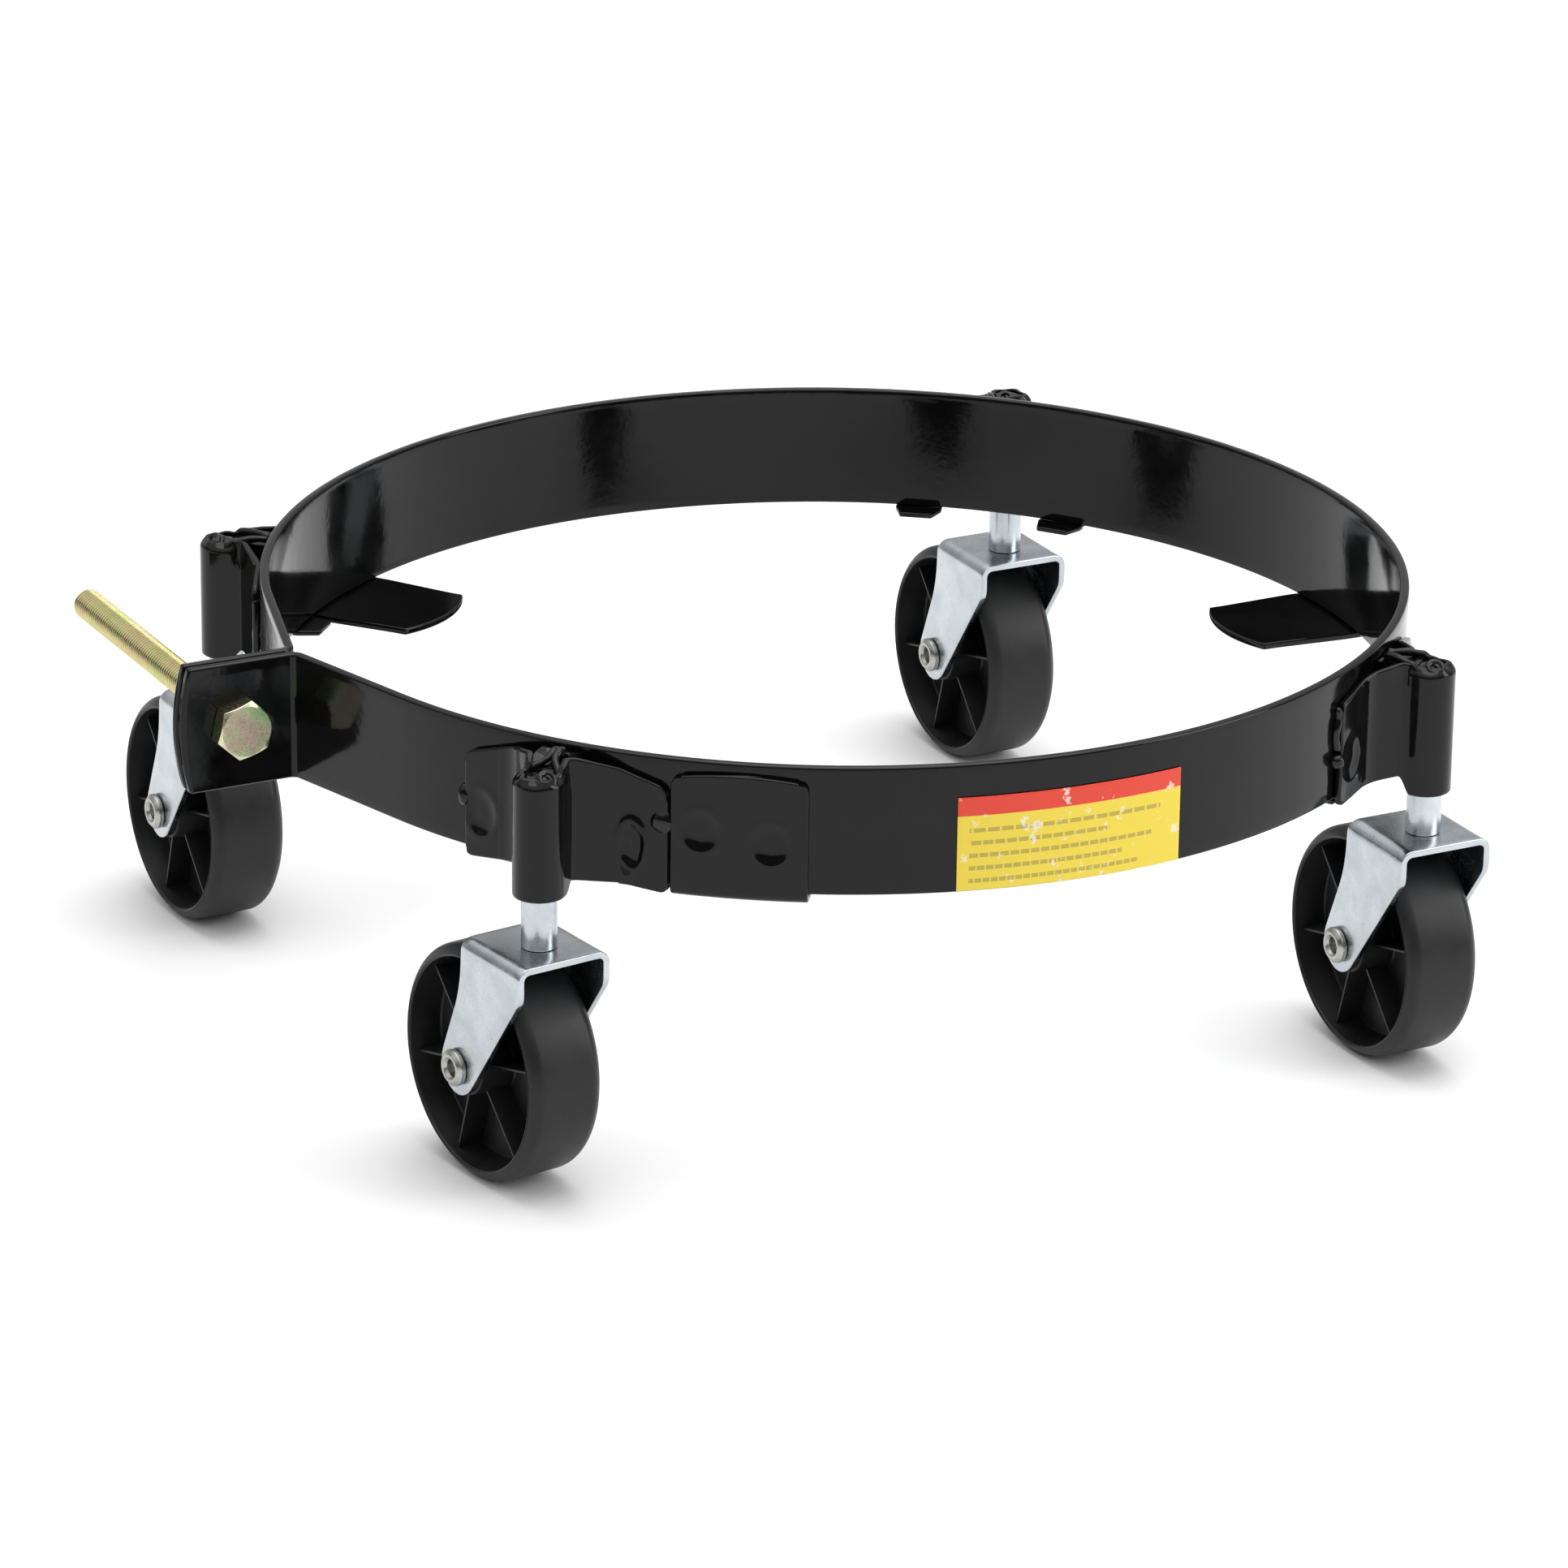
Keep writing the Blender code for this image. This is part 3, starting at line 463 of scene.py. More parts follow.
# ---- materials ----
class Nodes:
    """A short way to build the node tree of a material or a world."""

    def __init__(self, owner):
        owner.use_nodes = True
        self.tree = owner.node_tree

    def feed(self, socket, value):
        """A socket takes a number, a colour or another node's output."""
        if isinstance(value, tuple):
            socket.default_value = (*value, 1.0)
        elif isinstance(value, (int, float)):
            socket.default_value = value
        else:
            self.tree.links.new(value, socket)

    def add(self, kind, inputs=None, **settings):
        node = self.tree.nodes.new(kind)
        for key, value in settings.items():
            setattr(node, key, value)
        for key, value in (inputs or {}).items():
            self.feed(node.inputs[key], value)
        return node

    def span(self, value, low, high, from_low=0.0, from_high=1.0, **settings):
        inputs = {"Value": value, "From Min": from_low, "From Max": from_high, "To Min": low, "To Max": high}
        return self.add("ShaderNodeMapRange", inputs, **settings).outputs["Result"]

    def math(self, operation, first, second):
        return self.add("ShaderNodeMath", {0: first, 1: second}, operation=operation).outputs["Value"]

    def times(self, first, second):
        return self.math("MULTIPLY", first, second)

    def separate(self, vector):
        return self.add("ShaderNodeSeparateXYZ", {"Vector": vector}).outputs


class Finish(Nodes):
    """A material, with the textures that its finish is made of."""

    def __init__(self, name):
        self.material = bpy.data.materials.new(name)
        super().__init__(self.material)
        self.shader = self.tree.nodes["Principled BSDF"]
        self.place = self.add("ShaderNodeTexCoord").outputs["Object"]

    def set(self, **values):
        for key, value in values.items():
            self.feed(self.shader.inputs[key.replace("_", " ")], value)

    def noise(self, scale, detail=3.0, roughness=0.55, distortion=0.0):
        inputs = {"Vector": self.place, "Scale": scale, "Detail": detail, "Roughness": roughness,
                  "Distortion": distortion}
        return self.add("ShaderNodeTexNoise", inputs).outputs["Fac"]

    def ramp(self, value, stops):
        """stops: [(position, grey or colour), ...]."""
        node = self.add("ShaderNodeValToRGB", {"Fac": value})
        points = node.color_ramp.elements
        while len(points) < len(stops):
            points.new(0.5)
        for point, (position, colour) in zip(points, stops):
            point.position = position
            point.color = (*(colour if isinstance(colour, tuple) else (colour,) * 3), 1.0)
        return node.outputs["Color"]

    def mix(self, share, first, second):
        inputs = {"Factor": share, "A": first, "B": second}
        return self.add("ShaderNodeMix", inputs, data_type="RGBA").outputs["Result"]

    def bump(self, height, strength, distance, under=None):
        inputs = {"Strength": strength, "Distance": distance, "Height": height}
        if under is not None:
            inputs["Normal"] = under
        normal = self.add("ShaderNodeBump", inputs).outputs["Normal"]
        self.set(Normal=normal)
        return normal


def black_paint():
    """Dipped gloss paint: a slight orange-peel ripple, faint dust and a little haze."""
    n = Finish("black_paint")
    haze = n.noise(60.0, 4.0)
    dust = n.ramp(n.noise(900.0, 2.0), [(0.72, 0.0), (0.80, 1.0)])
    base = n.mix(n.span(haze, 0.0, 1.0, 0.35, 0.7), (0.0022, 0.0023, 0.0024), (0.0040, 0.0041, 0.0041))
    n.set(Base_Color=n.mix(n.times(dust, 0.10), base, (0.11, 0.11, 0.105)), Specular_IOR_Level=0.27,
          Roughness=n.span(haze, 0.07, 0.13, 0.3, 0.7))
    ripple = n.bump(n.noise(170.0, 2.0), 0.10, 0.4 * MM)
    n.bump(n.noise(700.0, 2.0), 0.07, 0.1 * MM, ripple)
    return n.material


def weld_paint():
    """The same paint where it runs over a weld: glossier and lumpier."""
    n = Finish("weld_paint")
    lumps = n.noise(420.0, 3.0)
    n.set(Base_Color=(0.003, 0.003, 0.003), Specular_IOR_Level=0.36,
          Roughness=n.span(lumps, 0.07, 0.16, 0.3, 0.7))
    n.bump(lumps, 0.12, 0.3 * MM)
    return n.material


def zinc(name, light, dark, rough_low, rough_high, pits):
    """Bright zinc plate: cloudy patches, faint grains, and a few tiny dark pits."""
    n = Finish(name)
    cloud = n.noise(85.0, 5.0, 0.62, distortion=0.4)
    grain = n.noise(1500.0, 3.0)
    tone = n.math("ADD", n.times(cloud, 0.75), n.times(grain, 0.25))
    base = n.mix(n.span(tone, 0.0, 1.0, 0.34, 0.66), dark, light)
    cells = n.add("ShaderNodeTexVoronoi", {"Vector": n.place, "Scale": 330.0}).outputs["Distance"]
    spots = n.ramp(cells, [(0.05, 1.0), (0.10, 0.0)])
    chance = n.ramp(n.noise(240.0, 1.0), [(0.60, 0.0), (0.64, 1.0)])
    spotted = n.times(n.times(spots, chance), pits)
    n.set(Base_Color=n.mix(spotted, base, (0.07, 0.065, 0.06)), Metallic=1.0,
          Roughness=n.span(tone, rough_low, rough_high, 0.3, 0.7))
    n.bump(grain, 0.10, 0.05 * MM, n.bump(cloud, 0.06, 0.5 * MM))
    return n.material


def yellow_zinc(name, drifts, weight, threaded):
    """Yellow passivated zinc: gold with drifts of other hues, and painted shade down in a thread's valleys."""
    n = Finish(name)
    drift = n.noise(70.0, 3.0, 0.5, distortion=0.6)
    coat = n.mix(weight, (0.66, 0.60, 0.28), n.ramp(drift, drifts))
    if threaded:
        # painted shade: where the thread's crest share is low, in its valleys, the coat is mixed towards dark
        # brown
        crest = n.add("ShaderNodeAttribute", attribute_name="crest").outputs["Fac"]
        coat = n.mix(n.span(crest, 0.0, 1.0, 0.15, 0.85), (0.10, 0.075, 0.03), coat)
    grain = n.noise(1300.0, 3.0)
    n.set(Base_Color=coat, Metallic=1.0, Roughness=n.span(grain, 0.20, 0.36, 0.3, 0.7))
    n.bump(grain, 0.12, 0.05 * MM)
    return n.material


def wheel_plastic():
    """Moulded black plastic: satin, with flow marks, faint scuffs and a fine grain."""
    n = Finish("wheel_plastic")
    flow = n.noise(55.0, 4.0, 0.6)
    grain = n.noise(2200.0, 2.0)
    scuff = n.ramp(n.noise(320.0, 5.0, 0.7), [(0.62, 0.0), (0.78, 1.0)])
    base = n.mix(n.span(flow, 0.0, 1.0, 0.35, 0.65), (0.0055, 0.0056, 0.0060), (0.0105, 0.0106, 0.0108))
    n.set(Base_Color=n.mix(n.times(scuff, 0.30), base, (0.035, 0.035, 0.035)))
    n.set(Specular_IOR_Level=0.36)
    n.set(Roughness=n.span(flow, 0.36, 0.50, 0.3, 0.7))
    soft = n.bump(flow, 0.12, 0.8 * MM)
    n.bump(grain, 0.10, 0.06 * MM, soft)
    return n.material


def label_print():
    """A yellow sticker with a red strip along its top, grey bars for its print, and rubbed patches."""
    n = Finish("label_print")
    place = n.separate(n.add("ShaderNodeUVMap", uv_map="across").outputs["UV"])
    across, up = place["X"], place["Y"]
    colour = n.mix(n.math("GREATER_THAN", up, LABEL_RED_START), (0.80, 0.62, 0.05), (0.72, 0.045, 0.02))
    for index, (foot, end) in enumerate(LABEL_LINES):
        inside = n.math("GREATER_THAN", up, foot)
        for test, value, limit in (("LESS_THAN", up, foot + LABEL_LINE_HEIGHT),
                                   ("GREATER_THAN", across, LABEL_LINE_START), ("LESS_THAN", across, end)):
            inside = n.times(inside, n.math(test, value, limit))
        words = n.math("FRACT", n.times(across, 17.0 + 3 * index), 0.0)
        printed = n.times(inside, n.math("GREATER_THAN", words, 0.16))
        colour = n.mix(n.times(printed, 0.55), colour, (0.20, 0.17, 0.05))
    worn = n.ramp(n.noise(190.0, 5.0, 0.65), [(0.61, 0.0), (0.66, 1.0)])
    n.set(Base_Color=n.mix(n.times(worn, 0.75), colour, (0.82, 0.78, 0.66)))
    n.set(Roughness=0.42)
    n.bump(n.noise(500.0, 3.0), 0.10, 0.05 * MM)
    return n.material


BLACK = black_paint()
WELD = weld_paint()
BRIGHT_ZINC = zinc("bright_zinc", (0.60, 0.635, 0.66), (0.43, 0.47, 0.50), 0.17, 0.34, 0.8)
DULL_ZINC = zinc("dull_zinc", (0.52, 0.52, 0.49), (0.36, 0.36, 0.33), 0.22, 0.38, 0.3)
SPRING_STEEL = zinc("spring_steel", (0.40, 0.40, 0.41), (0.28, 0.28, 0.29), 0.25, 0.40, 0.1)
GOLD_DRIFTS = [(0.30, (0.62, 0.50, 0.17)), (0.42, (0.42, 0.60, 0.22)), (0.50, (0.74, 0.70, 0.36)),
               (0.58, (0.72, 0.44, 0.34)), (0.68, (0.66, 0.64, 0.40))]
GREEN_DRIFTS = [(0.32, (0.60, 0.56, 0.28)), (0.42, (0.40, 0.60, 0.28)), (0.50, (0.58, 0.70, 0.42)),
                (0.60, (0.66, 0.50, 0.40)), (0.68, (0.56, 0.66, 0.42))]
YELLOW_ZINC = yellow_zinc("yellow_zinc", GOLD_DRIFTS, 0.35, True)
YELLOW_HEAD = yellow_zinc("yellow_zinc_head", GREEN_DRIFTS, 0.9, False)
PLASTIC = wheel_plastic()
LABEL = label_print()


# ---- placing pieces ----
def piece(name, mesh, material, slot, body, replaced, matrix, crease):
    """A visible piece: its mesh, finish and place, the body it rides on and the nodes it stands for."""
    mesh.transform(matrix)
    mesh.materials.clear()
    mesh.materials.append(material)
    mesh.shade_smooth()
    mesh.set_sharp_from_angle(angle=math.radians(crease))
    obj = add_object(name, mesh)
    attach(obj, body)
    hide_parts(*replaced)


def station(angle):
    """The frame at one place on the ring: x outwards, y along the ring, origin on its axis."""
    return Matrix.Translation(RING_AXIS) @ Matrix.Rotation(angle, 4, "Z")


def ring_angle(point):
    return heading(RING_AXIS, point)


CLAMP_ANGLE = ring_angle(BOLT_PLACE)


# ---- the clamp band ----
def band_path():
    """The band's middle line in the clamp's station frame, from one ear right round to the other."""
    radius = BAND_OUTER_RADIUS - BAND_THICKNESS / 2
    offset = (CLAMP_GAP + BAND_THICKNESS) / 2
    start = math.atan2(CLAMP_STRAIGHT, radius) + math.asin(offset / math.hypot(radius, CLAMP_STRAIGHT))
    touch = Vector((radius * math.cos(start), radius * math.sin(start)))
    bend = touch + Vector((math.sin(start), -math.cos(start))) * CLAMP_STRAIGHT
    ear_end = Vector((EAR_END_RADIUS, offset))
    first = [ear_end] + fillet(ear_end, bend, touch, EAR_BEND_RADIUS, 10)
    straight = resample([first[-1], touch], 4 * MM)[1:-1]
    ear = resample(first[:2], 2 * MM)[:-1]
    side = ear + first[1:] + straight
    ring = arc((0.0, 0.0), radius, start, 2 * math.pi - start, 300)
    return side + ring + [Vector((p.x, -p.y)) for p in reversed(side)]


def build_band():
    path = band_path()

    def place(point, height):
        """The ears' ends bow outwards by a fraction of their height."""
        reach = smooth_step(EAR_BULGE_START, EAR_END_RADIUS, point.x)
        up = (height - (BAND_TOP + BAND_BOTTOM) / 2) / ((BAND_TOP - BAND_BOTTOM) / 2)
        return (point.x - reach * EAR_BULGE * up * up, point.y, height)

    mesh = sheet(path, lambda point: (BAND_BOTTOM, BAND_TOP), BAND_THICKNESS, 0.8 * MM, 14, place)
    hole = plug(BOLT_DIAMETER / 2 + GAP, -20 * MM, 20 * MM, 48)
    hole.transform(station(CLAMP_ANGLE).inverted() @ bolt_frame())
    mesh = combine(mesh, [hole], "DIFFERENCE")
    piece("band", mesh, BLACK, "black_paint", "frame", ["clamp_band"], station(CLAMP_ANGLE), 50.0)


# ---- the clamp bolt and its nut ----
def bolt_frame():
    """z runs along the bolt from its head, x outwards from the ring, origin between the ears."""
    along = -BOLT_AXIS
    out = UP.cross(along)
    columns = Matrix((out, UP, along)).transposed().to_4x4()
    return Matrix.Translation(BOLT_PLACE) @ columns


def hex_radius(angle):
    """From a hexagon's middle to its side, in one direction."""
    sixth = math.pi / 3
    local = (angle - HEX_TURN) % sixth - sixth / 2
    return HEX_ACROSS_FLATS / 2 / math.cos(local)


def hexagon(start, end, chamfer_start, chamfer_end, bore=0.0, steps=180):
    """A hexagonal bar whose corners a cone has trimmed, as on a bolt's head, with an optional bore."""
    inner, slope = HEX_CHAMFER_START, math.tan(HEX_CHAMFER)
    rings = []
    for edge, sign, trimmed in ((start, 1.0, chamfer_start), (end, -1.0, chamfer_end)):
        rows = [[], [], [], []]
        for angle in around(steps):
            reach = hex_radius(angle)
            side = Vector((math.cos(angle), math.sin(angle)))
            drop = (reach - inner) * slope if trimmed else 0.0
            inner_reach = inner if trimmed else reach - 0.4 * MM
            rows[0].append((*(side * max(bore, 0.05 * MM)), edge))
            rows[1].append((*(side * inner_reach), edge))
            rows[2].append((*(side * (reach - 0.12 * MM)), edge + sign * (drop - 0.02 * MM)))
            rows[3].append((*(side * reach), edge + sign * (drop + 0.15 * MM)))
        rings.append(rows)
    return loft(rings[0] + list(reversed(rings[1])), "hexagon", closed=bore > 0.0)


def threaded_rod(start, end, thread_start, steps=28):
    """A rod along z with a right-hand helical thread from thread_start to its chamfered end."""
    radius, pitch, shape = BOLT_DIAMETER / 2, THREAD_PITCH, THREAD_SHAPE
    rows = int((end - start) / pitch * len(shape))
    rings, crests = [], []
    for row in range(rows + 1):
        height = lerp(start, end, row / rows)
        ring = []
        for angle in around(steps):
            phase = (height / pitch - angle / (2 * math.pi)) % 1.0 * len(shape)
            low = int(phase) % len(shape)
            share = phase - int(phase)
            cut = lerp(shape[low], shape[(low + 1) % len(shape)], share)
            cut *= smooth_step(thread_start - pitch, thread_start + pitch, height)
            begun = smooth_step(thread_start - pitch, thread_start, height)
            reach = radius - THREAD_DEPTH * (1.0 - cut) * begun
            reach = min(reach, radius - max(0.0, height - (end - TIP_CHAMFER)) * 0.9)
            ring.append((reach * math.cos(angle), reach * math.sin(angle), height))
            crests.append(cut)
        rings.append(ring)
    mesh = loft(rings, "rod")
    # the crest share of each point, which the shaft's finish reads to paint shade into the thread's valleys
    mesh.attributes.new("crest", "FLOAT", "POINT").data.foreach_set("value", crests)
    return mesh


def build_bolt():
    under_head = -(CLAMP_GAP / 2 + BAND_THICKNESS + GAP)
    shaft = threaded_rod(under_head - 2 * MM, under_head + BOLT_LENGTH, under_head + 3 * MM)
    piece("bolt_shaft", shaft, YELLOW_ZINC, "yellow_zinc", "clamp_bolt", ["clamp_bolt"], bolt_frame(), 30.0)
    head = hexagon(under_head - HEAD_HEIGHT, under_head, True, False)
    piece("bolt_head", head, YELLOW_HEAD, "yellow_zinc", "clamp_bolt", ["clamp_bolt"], bolt_frame(), 18.0)
    nut = hexagon(-under_head, -under_head + NUT_HEIGHT, True, True, BOLT_DIAMETER / 2 + GAP)
    piece("nut", nut, YELLOW_HEAD, "yellow_zinc", "clamp_nut", ["clamp_nut"], bolt_frame(), 18.0)


# ---- the leaf plates ----
def build_leaf(name):
    inner = BAND_OUTER_RADIUS + GAP
    middle = inner + LEAF_THICKNESS / 2
    top = BAND_TOP - LEAF_TOP_DROP
    shelf = BAND_BOTTOM - GAP - LEAF_THICKNESS / 2
    tip = BAND_OUTER_RADIUS - BAND_THICKNESS - LEAF_CORNER_REACH - LEAF_TIP_BULGE
    upright_top, corner, tip_end = Vector((middle, top)), Vector((middle, shelf)), Vector((tip, shelf))
    bend_radius = LEAF_THICKNESS / 2 + 0.9 * MM
    path = [upright_top] + fillet(upright_top, corner, tip_end, bend_radius, 8) + [tip_end]
    path = resample(path, 0.6 * MM)
    taper_start = middle - 8 * MM

    def limits(point):
        half = LEAF_HALF_WIDTH
        if point.x < taper_start:
            share = (taper_start - point.x) / (taper_start - tip - LEAF_TIP_BULGE)
            half = lerp(LEAF_HALF_WIDTH, LEAF_TIP_HALF_WIDTH, min(share, 1.0))
        elif point.x > middle - 1 * MM:
            half -= corner_fall(LEAF_TOP_ROUND, top - point.y)
        return -half, half

    marks = [dimple((along, BAND_BOTTOM + up), PUNCH_RADII, PUNCH_DEPTH) for along, up in PUNCH_PLACES]
    tip_radius = (LEAF_TIP_HALF_WIDTH ** 2 + LEAF_TIP_BULGE ** 2) / (2 * LEAF_TIP_BULGE)

    def place(point, side):
        """The upright hugs the band and carries two punch marks; the tip is bowed."""
        inwards = smooth_step(middle - 4 * MM, tip, point.x)
        radius = point.x - lerp(fall(inner, side), -fall(tip_radius, side), inwards)
        height = point.y
        if point.x > middle - 2 * MM:
            radius += sum(mark(side, height) for mark in marks)
            lift = smooth_step(BAND_BOTTOM + 20 * MM, top, height)
            height -= lift * LEAF_TOP_BOW * (side / LEAF_HALF_WIDTH) ** 2
        return (radius, side, height)

    mesh = sheet(path, limits, LEAF_THICKNESS, 0.55 * MM, 72, place)
    here = station(ring_angle(SEATS[name]))
    piece(f"leaf_{name}", mesh, BLACK, "black_paint", "frame", [f"leaf_plate_{name}"], here, 50.0)


# ---- the socket brackets ----
def strip_path():
    """The rolled strip's middle line, from one flange end to the other."""
    half = STRIP_THICKNESS / 2
    flush = BAND_OUTER_RADIUS + GAP + half
    stem = Vector((STEM_CIRCLE_RADIUS, 0.0))
    end_angle = math.asin(FLANGE_END / flush)
    sides, loop_ends = [], []
    for ramp_end, bend_radius, corner_radius, further in RAMP_SIDES:
        foot = Vector((flush + FOOT_STANDOFF + further, FOOT_HALF_WIDTH))
        touch = touch_point(foot, stem, SOCKET_BORE_RADIUS + half, -1)
        loop_ends.append(heading(stem, touch))
        flange = arc((0.0, 0.0), flush, end_angle, math.asin(ramp_end / flush), 26)
        ramp = fillet(flange[-2], flange[-1], foot, bend_radius, 12)
        bend_start = (ramp[0] - flange[-1]).length
        corner = fillet(flange[-1], foot, touch, corner_radius, 9)
        side = [p for p in flange if (p - flange[-1]).length > bend_start + 0.2 * MM]
        side += ramp + resample([ramp[-1], corner[0]], 1.2 * MM)[1:-1] + corner
        sides.append(side + resample([corner[-1], touch], 1.0 * MM)[1:-1])
    loop = arc(stem, SOCKET_BORE_RADIUS + half, loop_ends[0], -loop_ends[1], 44)
    return sides[0] + loop + [Vector((p.x, -p.y)) for p in reversed(sides[1])]


def bracket_mesh(seed, shoulder_top, socket_top, socket_bottom):
    """The rolled strip of one bracket, from flange to socket to flange."""
    foot_radius = BAND_OUTER_RADIUS + GAP + STRIP_THICKNESS / 2 + FOOT_STANDOFF
    shoulder_side = SOCKET_BORE_RADIUS + STRIP_THICKNESS
    stem_back = STEM_CIRCLE_RADIUS - SOCKET_BORE_RADIUS

    def limits(point):
        out = abs(point.y)
        slope = max((out - shoulder_side) / (FLANGE_END - shoulder_side), 0.0)
        top = lerp(shoulder_top, FLANGE_END_TOP, slope)
        low = lerp(FOOT_BOTTOM, FLANGE_BOTTOM, min(slope, 1.0))
        top -= corner_fall(FLANGE_TOP_ROUNDS[0 if point.y > 0 else 1], FLANGE_END - out)
        low += corner_fall(FLANGE_LOW_ROUND, FLANGE_END - out)
        top = lerp(top, socket_top, smooth_step(stem_back - 0.5 * MM, stem_back + 5 * MM, point.x))
        low = lerp(low, socket_bottom, smooth_step(stem_back - 1 * MM, stem_back + 3.5 * MM, point.x))
        return low, top

    marks = [plug_weld(*PLUG_WELD, seed), dimple(*FLANGE_DIMPLE)]
    stem = Vector((STEM_CIRCLE_RADIUS, 0.0))

    def place(point, height):
        """Flanges carry a weld mark each, and the socket's top is crimped in unevenly."""
        spot = Vector((point.x, point.y))
        if abs(spot.y) > FOOT_HALF_WIDTH + 5 * MM:
            fade = smooth_step(FOOT_HALF_WIDTH + 5 * MM, RAMP_SIDES[0][0], abs(spot.y))
            depth = fade * sum(mark(spot.y, height) for mark in marks)
            spot += spot.normalized() * depth
        from_stem = spot - stem
        if spot.x > stem_back + 1.5 * MM:
            crimp = smooth_step(socket_top - CRIMP_HEIGHT, socket_top, height)
            ripple = 1.0 + 0.35 * math.sin(5 * math.atan2(from_stem.y, from_stem.x) + seed)
            spot = stem + from_stem * (1.0 - CRIMP_SHARE * crimp * crimp * ripple)
        elif spot.x > foot_radius - 3 * MM:
            pinch = smooth_step(socket_top - 9 * MM, shoulder_top, height)
            pinch *= smooth_step(foot_radius - 3 * MM, foot_radius + 1 * MM, spot.x)
            spot.y *= 1.0 - NECK_PINCH * pinch
        return (spot.x, spot.y, height)

    return sheet(strip_path(), limits, STRIP_THICKNESS, 0.6 * MM, 60, place)


def fold_mesh(side):
    """One of the two tabs folded in under the band."""
    inner = BAND_OUTER_RADIUS - BAND_THICKNESS
    tip = inner - FOLD_REACH
    level = BAND_BOTTOM - GAP - FOLD_THICKNESS / 2
    outer = BAND_OUTER_RADIUS - 0.5 * MM
    path = resample([Vector((outer, level)), Vector((tip, level))], 0.7 * MM)

    def limits(point):
        share = min(max((inner - point.x) / FOLD_REACH, 0.0), 1.0)
        half = lerp(FOLD_HALF_ROOT, FOLD_HALF_TIP, share)
        return -half, half

    mesh = sheet(path, limits, FOLD_THICKNESS, 0.5 * MM, 10, lambda p, across: (p.x, across, p.y))
    mesh.transform(Matrix.Rotation(math.radians(side * FOLD_ANGLE), 4, "Z"))
    return mesh


def cowl_mesh(shoulder_top, socket_top, seed):
    """The metal gathered between the shoulders, sagging from one wall to the other."""
    start, end = BAND_OUTER_RADIUS + 0.6 * MM, STEM_CIRCLE_RADIUS - SOCKET_BORE_RADIUS + 3 * MM
    half = SOCKET_BORE_RADIUS + 0.6 * MM
    steps = 24
    rings = []
    for row in range(steps + 1):
        share = row / steps
        level = lerp(shoulder_top - 0.8 * MM, socket_top - 0.2 * MM, smooth_step(0.3, 1.0, share))
        upper = []
        for i in range(steps + 1):
            side = 2.0 * i / steps - 1.0
            sag = COWL_SAG * (1.0 - side * side) * math.sin(math.pi * min(share + 0.15, 1.0))
            ripple = 0.35 * MM * noise.noise(Vector((share * 1.6, side * 1.6, seed)))
            upper.append(Vector((lerp(start, end, share), side * half, level - sag + ripple)))
        lower = [Vector((p.x, p.y, level - COWL_DEPTH)) for p in reversed(upper)]
        rings.append(upper + lower)
    return loft(rings, "cowl")


def lip_mesh(side, shoulder_top, socket_top, split, seed):
    """A thin arched lip that runs from the band's edge over the cowl to the socket's rim."""
    start, end = BAND_OUTER_RADIUS + 1.0 * MM, STEM_CIRCLE_RADIUS - 0.5 * MM
    line = []
    for step in range(25):
        share = step / 24
        out = lerp(0.9 * MM, SOCKET_BORE_RADIUS + 0.1 * MM, smooth_step(split - 0.35, 1.0, share))
        arch = LIP_ARCH * math.sin(math.pi * share) - LIP_DIP * smooth_step(0.75, 1.0, share)
        height = lerp(shoulder_top - 0.9 * MM, socket_top - 0.3 * MM, smooth_step(0.2, 0.8, share)) + arch
        line.append((lerp(start, end, share), side * out, height))
    return bead(line, *LIP_BEAD, seed + side, UP)


# ---- welds ----
def lump(size, seed, rough):
    """A blob of weld metal: a ball pulled about by smooth noise."""
    bm = bmesh.new()
    bmesh.ops.create_icosphere(bm, subdivisions=4, radius=1.0)
    for vertex in bm.verts:
        spot = vertex.co * 1.3 + Vector((seed * 1.7, seed * 0.9, seed * 2.3))
        swell = 1.0 + rough * noise.noise(spot) + rough * 0.3 * noise.noise(spot * 2.3)
        vertex.co = Vector(c * s for c, s in zip(vertex.co * swell, size))
    mesh = bpy.data.meshes.new("lump")
    bm.to_mesh(mesh)
    bm.free()
    return mesh


def bead(points, width, height, seed, out=OUTWARDS):
    """A run of weld along a line: an uneven half-round ridge on either face, rounded at both ends."""
    path = resample([Vector(p) for p in points], 0.35 * MM)
    rings = []
    total = len(path) - 1
    for i, point in enumerate(path):
        ahead = (path[min(i + 1, total)] - path[max(i - 1, 0)]).normalized()
        across = ahead.cross(out).normalized()
        end = min(i, total - i) / 5.0
        swell = math.sqrt(max(1.0 - max(1.0 - end, 0.0) ** 2, 0.02))
        scale = 1.0 + 0.30 * noise.noise(point * 220.0 + Vector((seed, 0, 0)))
        ring = []
        for angle in around(BEAD_FACETS):
            ring.append(point + across * (width / 2 * swell * scale * math.cos(angle))
                        + out * (height * swell * scale * math.sin(angle)))
        rings.append(ring)
    return loft(rings, "bead")


def swirl_mesh(seed):
    """The end of a run of weld, wound round on itself."""
    coil = []
    for k in range(31):
        angle = 2 * math.pi * SWIRL_TURNS * k / 30
        radius = lerp(*SWIRL_RADII, k / 30)
        coil.append((radius * math.cos(angle), radius * math.sin(angle), SWIRL_LIFT))
    return bead(coil, *SWIRL_BEAD, seed, UP)


